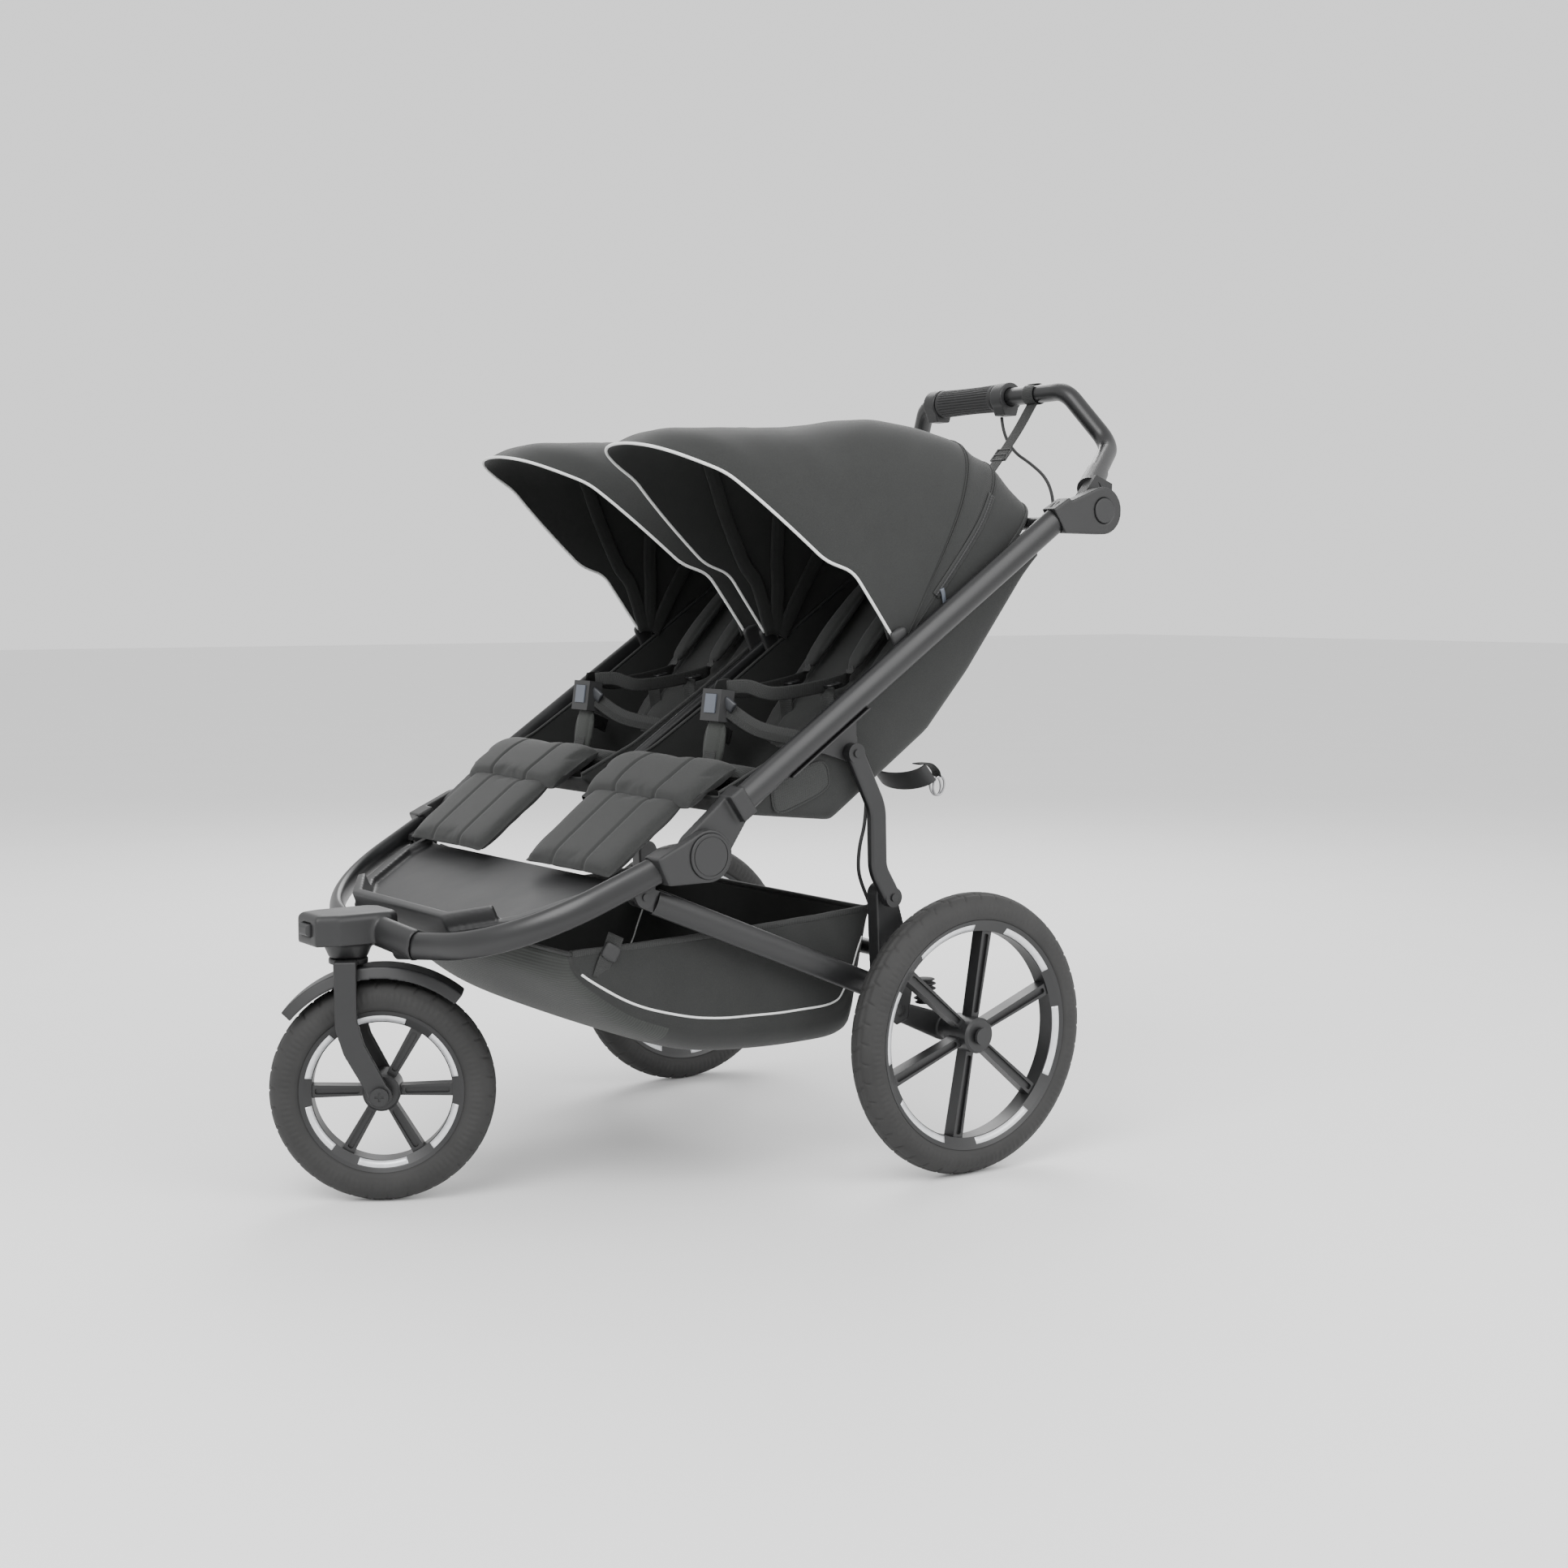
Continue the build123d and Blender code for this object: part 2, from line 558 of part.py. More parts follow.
def rear_housing():
    """Suspension housing: the tube's socket, an upright to the strut bolt and ears for the swing arm."""
    half = REAR_TUBE_H / 2 + 3
    x0, x1 = REAR_TUBE_X - 12, REAR_TUBE_X + 12
    upright = tapered_lug(
        (STRUT_LOW_Y + 8, STRUT_LOW_Z),
        17,
        along(REAR_DIR, *REAR_TUBE_END, -34, half),
        along(REAR_DIR, *REAR_TUBE_END, 26, half + 20),
        x0,
        x1,
    )
    socket = [
        along(REAR_DIR, *REAR_TUBE_END, -34, half),
        along(REAR_DIR, *REAR_TUBE_END, -34, -half),
        (ARM_PIVOT_Y - 4, ARM_PIVOT_Z - 20),
        (ARM_PIVOT_Y + 16, ARM_PIVOT_Z - 14),
        along(REAR_DIR, *REAR_TUBE_END, 26, half + 20),
    ]
    body = upright + plate(socket, x0, x1)
    slot = [
        (ARM_PIVOT_Y - 24, ARM_PIVOT_Z - 40),
        (ARM_PIVOT_Y - 24, ARM_PIVOT_Z + 17),
        (ARM_PIVOT_Y + 60, ARM_PIVOT_Z + 24),
        (ARM_PIVOT_Y + 60, ARM_PIVOT_Z - 40),
    ]
    body -= plate(slot, REAR_TUBE_X - 6 - PART_GAP, REAR_TUBE_X + 6 + PART_GAP)
    body += disc(ARM_PIVOT_Y, ARM_PIVOT_Z, 6, x0 - 2, x1 + 2)
    body -= Pos(0, CROSS_TUBE_Y, CROSS_TUBE_Z) * Rot(0, 90, 0) * Cylinder(CROSS_TUBE_R + 0.05, 2 * x0 + 16)
    return body - rear_tube(Ellipse(REAR_TUBE_W / 2 + 0.05, REAR_TUBE_H / 2 + 0.05))


CROSS_TUBE_Y, CROSS_TUBE_Z, CROSS_TUBE_R = 238.0, 312.0, 11.0


def swing_arm():
    """The arm that carries the wheel, with its axle stub pointing outwards."""
    arm = tapered_lug(
        (REAR_AXLE_Y, REAR_WHEEL_R),
        19,
        (ARM_PIVOT_Y - 2, ARM_PIVOT_Z + 14),
        (ARM_PIVOT_Y - 6, ARM_PIVOT_Z - 12),
        REAR_TUBE_X - 6,
        REAR_TUBE_X + 6,
    )
    arm += disc(ARM_PIVOT_Y, ARM_PIVOT_Z, 14, REAR_TUBE_X - 6, REAR_TUBE_X + 6)
    inner_hub = REAR_TRACK / 2 - HUB_W / 2 - PART_GAP
    arm += disc(REAR_AXLE_Y, REAR_WHEEL_R, 15, REAR_TUBE_X + 5, inner_hub)
    arm += disc(REAR_AXLE_Y, REAR_WHEEL_R, AXLE_R, REAR_TUBE_X, REAR_TRACK / 2 + HUB_W / 2 - 8)
    return arm - disc(ARM_PIVOT_Y, ARM_PIVOT_Z, 6 + RUNNING_GAP, REAR_TUBE_X - 20, REAR_TUBE_X + 20)


def hub_button():
    """Quick-release button in the middle of the hub, on the outside."""
    outer = REAR_TRACK / 2 + HUB_W / 2
    button = disc(REAR_AXLE_Y, REAR_WHEEL_R, AXLE_R - 0.3, outer - 3, outer + 4)
    return button + disc(REAR_AXLE_Y, REAR_WHEEL_R, 12, outer + 4, outer + 8)


def bellows():
    """Ribbed rubber spring cover between the housing and the swing arm."""
    y, z0 = REAR_AXLE_Y - 32, REAR_WHEEL_R + 41
    rings = Part()
    for n in range(5):
        rings += Pos(REAR_TUBE_X, y, z0 + n * 7) * Cylinder(12 + (n % 2) * 3, 7.2)
    return rings


add("rear_cross_tube", Pos(0, CROSS_TUBE_Y, CROSS_TUBE_Z) * Rot(0, 90, 0)
    * (Cylinder(CROSS_TUBE_R, 2 * REAR_TUBE_X - 10) - Cylinder(CROSS_TUBE_R - TUBE_WALL, 2 * REAR_TUBE_X)))
add("rear_tube_pivots", pair(pivot_shoe))
add("suspension_bellows", pair(bellows))
for name, side in SIDES.items():
    for node, maker in (
        ("rear_tube", rear_tube_with_eye),
        ("rear_housing", rear_housing),
        ("swing_arm", swing_arm),
        ("hub_button", hub_button),
    ):
        shape = maker()
        add(f"{node}_{name}", shape if side > 0 else mirrored(shape))


# ---- struts --------------------------------------------------------------------------------------------------
STRUT_X = RAIL_X - 1.0


def strut():
    """Bent flat strut from the rail's bracket down to the suspension housing, with its two bolts."""
    route = [
        (STRUT_TOP_Y, STRUT_TOP_Z),
        (STRUT_TOP_Y + 38, STRUT_TOP_Z - 76),
        (STRUT_TOP_Y + 40, STRUT_TOP_Z - 160),
        (STRUT_LOW_Y, STRUT_LOW_Z),
    ]
    radii = [60, 45]
    path = FilletPolyline(*[Vector(STRUT_X, *p) for p in route], radius=radii)
    section = RectangleRounded(STRUT_W, STRUT_H, 5)
    body = sweep(Plane(origin=path @ 0, x_dir=(1, 0, 0), z_dir=path % 0) * section, path)
    x0, x1 = STRUT_X - STRUT_W / 2, STRUT_X + STRUT_W / 2
    body += disc(STRUT_TOP_Y, STRUT_TOP_Z, STRUT_H / 2, x0, x1)
    body += disc(STRUT_LOW_Y, STRUT_LOW_Z, STRUT_H / 2, x0, x1)
    for y, z in ((STRUT_TOP_Y, STRUT_TOP_Z), (STRUT_LOW_Y, STRUT_LOW_Z)):
        body += disc(y, z, 5.5, x1 - 1, x1 + 2.5)
    body += disc(STRUT_TOP_Y, STRUT_TOP_Z, 4 - RUNNING_GAP, RAIL_X - 17, x1)
    return body


for name, side in SIDES.items():
    shape = strut()
    add(f"strut_{name}", shape if side > 0 else mirrored(shape))


# ---- footrest tray -------------------------------------------------------------------------------------------
def footrest_tray():
    """Wide moulded tray between the front tubes with a raised front lip."""
    plan = make_face(
        Polyline((-150, -372), (150, -372), (232, -322), (286, -232), (286, -178), (-286, -178), (-286, -232),
                 (-232, -322), close=True)
    )
    slope = 22.0
    place = Pos(0, -275, 412) * Rot(slope, 0, 0) * Pos(0, 275, 0)
    skin = place * (Pos(0, 0, -14) * extrude(plan, 14))
    dish = place * (Pos(0, 6, -10) * extrude(scale(plan, by=(0.94, 0.97, 1)), 20))
    lip_plan = make_face(
        Polyline((-140, -372), (140, -372), (206, -330), (196, -322), (134, -358), (-134, -358), (-196, -322),
                 (-206, -330), close=True)
    )
    lip = place * (Pos(0, 0, -6) * extrude(lip_plan, 26))
    return skin - dish + lip


add("footrest_tray", footrest_tray())


# ---- soft parts ----------------------------------------------------------------------------------------------
def padded_box(width, length, thick, radius):
    body = Box(width, length, thick)
    body = fillet(body.edges().filter_by(Axis.Z), radius)
    return fillet(body.edges().group_by(Axis.Z)[-1], thick / 3)


def legrest_pad():
    """Pad from the seat's front edge down to the tray, leaning forward."""
    lean = 38.0
    middle = (SEAT_X, -146, 498)
    return Pos(*middle) * Rot(lean, 0, 0) * padded_box(LEGREST_W, 128, 22, 22)


def seat():
    """Fabric bucket seat hung between two rails, open on top, with its cushion as a second solid."""
    x0, x1 = SEAT_X - SEAT_W / 2, SEAT_X + SEAT_W / 2
    outer = [(-66, 548), (-30, 521), (126, 504), (286, 616), (358, 698), (456, 832), (478, 868), (440, 880),
             (300, 780), (140, 668), (20, 590)]
    inner = [(-50, 560), (-26, 528), (122, 511), (280, 620), (352, 702), (450, 836), (462, 930), (400, 960),
             (280, 810), (100, 700), (-20, 640)]
    shell = plate(outer, x0, x1) - plate(inner, x0 + SEAT_WALL, x1 - SEAT_WALL)
    cushion = plate([(-62, 574), (-44, 558), (96, 528), (118, 536), (112, 560), (-40, 598)],
                    x0 + SEAT_WALL + 4, x1 - SEAT_WALL - 4)
    return Compound(children=[*shell.solids(), *cushion.solids()])


def backrest():
    """Padded back board that reclines about the seat's rear corner."""
    board = Pos(BACK_LENGTH / 2 + 12, 12) * RectangleRounded(BACK_LENGTH, 22, 8)
    face = Pos(BACK_PIVOT_Y, BACK_PIVOT_Z) * Rot(0, 0, BACK_ANGLE_DEG) * board
    width = SEAT_W - 2 * SEAT_WALL - 20
    rod = disc(BACK_PIVOT_Y, BACK_PIVOT_Z, BACK_ROD_R, SEAT_X - width / 2, SEAT_X + width / 2)
    neck = Pos(BACK_PIVOT_Y, BACK_PIVOT_Z) * Rot(0, 0, BACK_ANGLE_DEG) * Pos(9, 5) * Rectangle(18, 8)
    return plate(face + neck, SEAT_X - width / 2, SEAT_X + width / 2) + rod


def harness():
    """Shoulder pads, waist straps and crotch strap as flat closed straps."""
    direction = (math.cos(math.radians(BACK_ANGLE_DEG)), math.sin(math.radians(BACK_ANGLE_DEG)))
    parts = []
    for side in (-1, 1):
        a = along(direction, BACK_PIVOT_Y, BACK_PIVOT_Z, 150, 34)
        b = along(direction, BACK_PIVOT_Y, BACK_PIVOT_Z, 330, 30)
        pad = [a, b, along(direction, *b, 0, 12), along(direction, *a, 0, 12)]
        centre = SEAT_X + side * 52
        parts += plate(pad, centre - 22, centre + 22).solids()
    strap = [(24, 588), (34, 586), (38, 628), (30, 628)]
    parts += plate(strap, SEAT_X - 16, SEAT_X + 16).solids()
    return Compound(children=parts)


def buckle():
    """Crotch buckle body with a pocket for its release button."""
    body = Pos(SEAT_X, 30, 656) * Rot(-8, 0, 0) * Box(46, 22, 44)
    pocket = Pos(SEAT_X, 30, 656) * Rot(-8, 0, 0) * Pos(0, -9, 2) * Box(26.6, 12, 26.6)
    return body - pocket


BUTTON_DIR = (0.0, math.cos(math.radians(-8)), math.sin(math.radians(-8)))


def buckle_button():
    return Pos(SEAT_X, 30, 656) * Rot(-8, 0, 0) * Pos(0, -9.5, 2) * Box(26, 6, 26)


def recline_band():
    """Curved plastic band behind the seat with the ring that shortens the recline strap."""
    arc = Ellipse(62, 26) - Ellipse(58.5, 22.5) - Pos(0, -40) * Rectangle(200, 80)
    band = extrude(arc, 30)
    placed = Pos(SEAT_X + 60, 318, 548) * Rot(40, 0, 0) * Rot(0, 0, 180) * band
    return placed


for name, side in SIDES.items():
    for node, maker in (
        ("legrest_pad", legrest_pad),
        ("seat", seat),
        ("backrest", backrest),
        ("harness", harness),
        ("buckle", buckle),
        ("buckle_button", buckle_button),
    ):
        shape = maker()
        add(f"{node}_{name}", shape if side > 0 else mirrored(shape))
add("recline_bands", pair(recline_band))


# ---- canopies ------------------------------------------------------------------------------------------------
CANOPY_TOP = [(-124, 1006), (-60, 1030), (60, 1032), (290, 1054), (392, 1030), (466, 988), (512, 944)]
CANOPY_OPEN = [(420, 866), (300, 786), (246, 746), (150, 838), (106, 852), (-30, 966)]


def canopy_block(inset, reach):
    """The canopy's outer block, or its inside: smaller by inset and pushed out past its open front.

    The side outline is carried across the seat, and a crowned arch seen from the front trims its corners.
    """
    top = [(y, z - inset * 1.2) for y, z in CANOPY_TOP]
    top[-1] = (top[-1][0] - inset * 2, top[-1][1])
    top[0] = (top[0][0] - reach, top[0][1] - reach)
    low = [(y - reach * 0.5, z - reach) for y, z in CANOPY_OPEN]
    half = CANOPY_W / 2 - inset
    body = plate(top + low, SEAT_X - half, SEAT_X + half)
    crown_z = max(z for y, z in CANOPY_TOP) + 4 - inset
    shoulder_z = crown_z - CANOPY_CROWN
    arch = Pos(SEAT_X, shoulder_z) * Ellipse(half, CANOPY_CROWN)
    arch += Pos(SEAT_X, shoulder_z - 200) * Rectangle(2 * half, 400)
    return body & extrude(Plane(origin=(0, 900, 0), x_dir=(1, 0, 0), z_dir=(0, -1, 0)) * arch, 1300)


def canopy():
    """The hollow canopy with a flat lug on each side that turns on its hinge."""
    body = canopy_block(0, 0) - canopy_block(CANOPY_WALL, 40)
    for side in (-1, 1):
        x0, x1 = sorted(SEAT_X + side * x for x in (CANOPY_W / 2 - CANOPY_WALL, CANOPY_W / 2))
        body += tapered_lug((CANOPY_PIVOT_Y, CANOPY_PIVOT_Z), 14, (196, 794), (246, 760), x0, x1)
        body -= disc(CANOPY_PIVOT_Y, CANOPY_PIVOT_Z, 4, x0 - 1, x1 + 1)
    return body


for name, side in SIDES.items():
    shape = canopy()
    add(f"canopy_{name}", shape if side > 0 else mirrored(shape))


# ---- handle hinges and handlebar -----------------------------------------------------------------------------
HANDLE_X1 = RAIL_X + 14.0


def handle_socket():
    """Casting on the rail's upper end: the rail's socket and the inner drum of the handle hinge."""
    half = RAIL_H / 2 + 1.5
    tip = along(RAIL_DIR, *RAIL_HIGH, -22, 0)
    top = along(RAIL_DIR, *tip, 0, half)
    bottom = along(RAIL_DIR, *tip, 0, -half)
    body = tapered_lug(
        (HANDLE_HINGE_Y, HANDLE_HINGE_Z), HANDLE_HINGE_R, top, bottom, RAIL_X - RAIL_W / 2 + 6, HANDLE_X1
    )
    end = along(RAIL_DIR, *RAIL_HIGH, 12, 0)
    block = [top, bottom, along(RAIL_DIR, *end, 0, -half), along(RAIL_DIR, *end, 0, half - 3)]
    body += plate(block, RAIL_X - RAIL_W / 2 - 2, HANDLE_X1)
    body -= disc(HANDLE_HINGE_Y, HANDLE_HINGE_Z, 18.3, HANDLE_X1 - 9, HANDLE_X1 + 10)
    body -= disc(HANDLE_HINGE_Y, HANDLE_HINGE_Z, 8 + RUNNING_GAP, RAIL_X - 60, RAIL_X + 60)
    return body - rail(Ellipse(RAIL_W / 2 + 0.05, RAIL_H / 2 + 0.05))


def handle_button():
    button = disc(HANDLE_HINGE_Y, HANDLE_HINGE_Z, 18, HANDLE_X1 - 4, HANDLE_X1 + 2)
    return fillet(button.edges().group_by(Axis.X)[-1], 1.2)


def bar_path():
    side_points = [
        (BAR_ARM_X - 12, HANDLE_HINGE_Y + 12, HANDLE_HINGE_Z + 38),
        (KNEE_X, KNEE_Y, KNEE_Z),
        (BAR_HALF, BAR_Y, BAR_Z),
    ]
    left = [(-x, y, z) for x, y, z in side_points]
    return [Vector(*p) for p in side_points + left[::-1]]


def handlebar():
    """One bent tube with a flat arm at each end that turns on the handle hinge."""
    path = FilletPolyline(*bar_path(), radius=[45, 42, 42, 45])
    tangent = path % 0
    ring = Circle(BAR_R) - Circle(BAR_R - 2.2)
    across = Vector(1, 0, 0).cross(tangent).normalized()
    body = sweep(Plane(origin=path @ 0, x_dir=across, z_dir=tangent) * ring, path)
    x0, x1 = RAIL_X - 22, RAIL_X - RAIL_W / 2 + 6 - PART_GAP
    lug = tapered_lug(
        (HANDLE_HINGE_Y, HANDLE_HINGE_Z),
        HANDLE_HINGE_R - 2,
        (HANDLE_HINGE_Y + 2, HANDLE_HINGE_Z + 52),
        (HANDLE_HINGE_Y + 34, HANDLE_HINGE_Z + 40),
        x0,
        x1,
    )
    lug += disc(HANDLE_HINGE_Y, HANDLE_HINGE_Z, 8, x0, HANDLE_X1 - 10)
    core = Vector(*bar_path()[0])
    collar = Solid.make_cone(BAR_R + 4, BAR_R + 2.5, 62, Plane(origin=core - tangent * 14, z_dir=tangent))
    collar -= Solid.make_cylinder(BAR_R - 2.2, 62, Plane(origin=core, z_dir=tangent))
    arm = lug + collar
    return body + arm + mirrored(arm)


GRIP_X0, GRIP_X1 = -150.0, 42.0


def brake_console():
    """Fixed housing round the handlebar beside the twist grip."""
    ends = Part()
    for x0, x1 in ((GRIP_X0, GRIP_X0 + 26), (GRIP_X1 - 26, GRIP_X1)):
        ends += disc(BAR_Y, BAR_Z, GRIP_R + 1, x0, x1)
    foot = [(BAR_Y - 12, BAR_Z - GRIP_R - 7), (BAR_Y + 12, BAR_Z - GRIP_R - 7), (BAR_Y + 16, BAR_Z - GRIP_R + 4),
            (BAR_Y - 16, BAR_Z - GRIP_R + 4)]
    for x0, x1 in ((GRIP_X0, GRIP_X0 + 26), (GRIP_X1 - 26, GRIP_X1)):
        ends += plate(foot, x0, x1)
    ends -= disc(BAR_Y, BAR_Z, BAR_R + 0.05, GRIP_X0 - 5, GRIP_X1 + 5)
    return Compound(children=ends.solids())


def twist_grip():
    """Ribbed sleeve that turns on the bar to set the brake."""
    x0, x1 = GRIP_X0 + 26 + PART_GAP, GRIP_X1 - 26 - PART_GAP
    sleeve = disc(BAR_Y, BAR_Z, GRIP_R, x0, x1)
    for n in range(18):
        turn = 20 * n
        y, z = turned_x(BAR_Y + GRIP_R, BAR_Z, turn, BAR_Y, BAR_Z)
        sleeve -= disc(y, z, 1.6, x0 + 8, x1 - 8)
    return sleeve - disc(BAR_Y, BAR_Z, BAR_R + RUNNING_GAP, x0 - 5, x1 + 5)


add("handle_sockets", pair(handle_socket))
add("handlebar", handlebar())
add("brake_console", brake_console())
add("brake_twist_grip", twist_grip())
for name, side in SIDES.items():
    shape = handle_button()
    add(f"handle_button_{name}", shape if side > 0 else mirrored(shape))


# ---- basket --------------------------------------------------------------------------------------------------
BASKET_SIDE = [(-262, 352), (-250, 312), (-204, 264), (-159, 232), (-100, 206), (-40, 190), (40, 182), (130, 180),
               (196, 184), (206, 200), (212, 372), (-20, 358)]


def basket():
    """Sagging fabric basket, open on top."""
    half = BASKET_W / 2
    outer = plate(BASKET_SIDE, -half, half)
    middle_y = sum(y for y, z in BASKET_SIDE) / len(BASKET_SIDE)
    inside = [
        (middle_y + (y - middle_y) * 0.975, z + (BASKET_WALL if z < 340 else 30)) for y, z in BASKET_SIDE
    ]
    return outer - plate(inside, -half + BASKET_WALL, half - BASKET_WALL)


add("basket", basket())


# ---- cables and tether ---------------------------------------------------------------------------------------
CABLE_R = 2.5


def cable_radii(points):
    """Each bend's radius is 0.45 of its shorter run over the tangent of half its turn."""
    radii = []
    for before, corner, after in zip(points, points[1:], points[2:]):
        run_in, run_out = corner - before, after - corner
        turn = math.radians(run_in.get_angle(run_out))
        radii.append(0.45 * min(run_in.length, run_out.length) / math.tan(turn / 2))
    return radii


def cable(name, points):
    points = [Vector(*p) for p in points]
    radii = cable_radii(points)
    path = FilletPolyline(*points, radius=radii)
    tangent = path % 0
    tube = sweep(Plane(origin=path @ 0, z_dir=tangent) * Circle(CABLE_R), path)
    expected = math.pi * CABLE_R**2 * path.length
    print(name, "length", round(path.length, 1), "radii", [round(r) for r in radii],
          "volume ratio", round(tube.volume / expected, 4))
    return tube


UPPER_CABLE = [
    (20, BAR_Y, BAR_Z - GRIP_R - 8.5),
    (26, BAR_Y - 2, 1062),
    (60, 668, 1030),
    (118, 650, 1010),
    (176, 632, 984),
    (214, 612, 950),
    (236, 590, 912),
    (250, 560, 884),
]
LOWER_CABLE = [
    (334, 168, 528),
    (333, 168, 500),
    (326, 163, 468),
    (316, 168, 436),
    (302, 184, 414),
    (291, 204, 388),
    (288, 220, 358),
    (287, 230, 328),
]
add("brake_cable_upper", cable("upper brake cable", UPPER_CABLE))
add("brake_cable_lower", cable("lower brake cable", LOWER_CABLE))


def wrist_tether():
    """Flat webbing from a loop round the handlebar down to the upper cross bar."""
    x0, x1 = 84.0, 109.0
    loop = disc(BAR_Y, BAR_Z, BAR_R + 2.4, x0, x1) - disc(BAR_Y, BAR_Z, BAR_R + 0.4, x0 - 5, x1 + 5)
    top = (BAR_Y - 2, BAR_Z - BAR_R - 1)
    low = (CROSS_Y + 14, CROSS_Z + 2)
    direction = unit(low[0] - top[0], low[1] - top[1])
    strap = [along(direction, *top, 0, 1), along(direction, *low, 0, 1), along(direction, *low, 0, -1),
             along(direction, *top, 0, -1)]
    return loop + plate(strap, x0, x1)


add("wrist_tether", wrist_tether())


def footprint_centre_y():
    """Middle of the whole stroller's length, which becomes Y = 0."""
    boxes = [shape.bounding_box() for shape in nodes.values()]
    return (min(b.min.Y for b in boxes) + max(b.max.Y for b in boxes)) / 2


CENTRE_Y = footprint_centre_y()


def main():
    os.makedirs("parts", exist_ok=True)
    for name, shape in nodes.items():
        export_step(Pos(0, -CENTRE_Y, 0) * shape, f"parts/{name}.step")
    print(len(nodes), "nodes, centre", round(CENTRE_Y, 3))


if __name__ == "__main__":
    main()
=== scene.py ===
"""Looks of a folding side-by-side jogging stroller, built round its CAD frame.

Every size is in design millimetres, as in the part's source, until place() turns it into metres in the frame.
"""

import json
import math

import bmesh
import bpy
import numpy as np
from bpy.props import FloatProperty, FloatVectorProperty, IntProperty, PointerProperty
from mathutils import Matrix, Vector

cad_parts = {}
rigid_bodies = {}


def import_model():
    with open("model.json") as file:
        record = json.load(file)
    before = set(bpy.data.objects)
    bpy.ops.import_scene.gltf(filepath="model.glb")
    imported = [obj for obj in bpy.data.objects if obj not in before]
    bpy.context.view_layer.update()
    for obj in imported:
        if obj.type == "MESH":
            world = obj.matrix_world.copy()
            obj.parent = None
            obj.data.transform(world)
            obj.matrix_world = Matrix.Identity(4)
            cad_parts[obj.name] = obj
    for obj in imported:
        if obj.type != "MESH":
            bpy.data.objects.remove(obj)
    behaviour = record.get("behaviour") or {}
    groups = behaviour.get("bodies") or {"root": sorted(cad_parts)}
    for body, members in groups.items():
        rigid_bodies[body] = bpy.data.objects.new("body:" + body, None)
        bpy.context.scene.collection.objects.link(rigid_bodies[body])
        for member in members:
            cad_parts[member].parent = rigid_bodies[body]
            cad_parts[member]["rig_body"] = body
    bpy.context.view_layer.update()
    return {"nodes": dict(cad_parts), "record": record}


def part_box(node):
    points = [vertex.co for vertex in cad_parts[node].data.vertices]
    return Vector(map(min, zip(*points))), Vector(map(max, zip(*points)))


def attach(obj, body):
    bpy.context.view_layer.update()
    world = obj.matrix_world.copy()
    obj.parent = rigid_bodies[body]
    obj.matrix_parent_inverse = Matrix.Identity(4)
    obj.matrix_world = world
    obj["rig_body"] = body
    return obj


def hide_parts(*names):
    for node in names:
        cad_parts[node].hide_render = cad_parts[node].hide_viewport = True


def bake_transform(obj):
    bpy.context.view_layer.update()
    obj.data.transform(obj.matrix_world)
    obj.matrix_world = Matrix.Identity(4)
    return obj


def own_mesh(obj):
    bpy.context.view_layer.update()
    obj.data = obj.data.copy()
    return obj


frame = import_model()

bl_info = {
    "name": "Jogging stroller",
    "version": (1, 0, 0),
    "blender": (4, 5, 0),
    "location": "View3D > Sidebar > Stroller",
    "description": "Cloth, tyres, webbing and finishes for a side-by-side folding stroller",
    "category": "Add Mesh",
}

SIDES = {"left": -1, "right": 1}
REAR_AXLE_Y = 322.0
LOW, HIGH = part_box("rear_rim_left")
SHIFT_Y = (LOW.y + HIGH.y) / 2 - REAR_AXLE_Y / 1000
SEAT_X = 178.0
BACK_PIVOT = np.array([146.0, 560.0])
BACK_ANGLE = math.radians(49)
BACK_DIR = np.array([math.cos(BACK_ANGLE), math.sin(BACK_ANGLE)])
BACK_OUT = np.array([-math.sin(BACK_ANGLE), math.cos(BACK_ANGLE)])
REAR_WHEEL_R, REAR_TYRE_R, REAR_RIM_R, REAR_BED = 198, 24, 161, 20.2
FRONT_WHEEL_R, FRONT_TYRE_R, FRONT_RIM_R, FRONT_BED = 150, 26, 109, 21.2
RIM_DEPTH, REAR_WHEEL_X = 16, 368
FRONT_AXLE = (21.9, -403.0, FRONT_WHEEL_R)
FRONT_STEER = math.radians(-30.6)


# ---- numbers into shapes ----
def place(points):
    """Design millimetres to metres in the frame: each point over 1000, then moved along y by the shift."""
    return np.asarray(points, float) / 1000 + np.array([0, SHIFT_Y, 0])


def even_steps(line, count):
    """The same line at count points equally far apart, interpolated against distance along it."""
    line = np.asarray(line, float)
    steps = np.r_[0, np.cumsum(np.linalg.norm(np.diff(line, axis=0), axis=1))]
    want = np.linspace(0, steps[-1], count)
    return np.stack([np.interp(want, steps, line[:, k]) for k in range(line.shape[1])], 1)


def smooth_line(points, count):
    """Catmull-Rom curve: in each span the cubic whose end slopes are half its neighbours' chord."""
    p = np.asarray(points, float)
    p = np.vstack([2 * p[0] - p[1], p, 2 * p[-1] - p[-2]])
    spans = len(p) - 3
    t = np.linspace(0, spans, 32 * spans + 1)
    i = np.minimum(t.astype(int), spans - 1)
    f = (t - i)[:, None]
    a, b, c, d = p[i], p[i + 1], p[i + 2], p[i + 3]
    square, cube = 2 * a - 5 * b + 4 * c - d, 3 * b - a - 3 * c + d
    curve = 0.5 * (2 * b + (c - a) * f + square * f**2 + cube * f**3)
    return even_steps(curve, count)


def rounded_line(points, count, reach):
    """Straight lines with their corners eased: every point is the mean of its neighbours within reach."""
    line = even_steps(points, count)
    width = 2 * reach + 1
    padded = np.vstack([2 * line[0] - line[reach:0:-1], line, 2 * line[-1] - line[-2 : -reach - 2 : -1]])
    even = np.ones(width) / width
    return np.stack([np.convolve(padded[:, k], even, "valid") for k in range(line.shape[1])], 1)


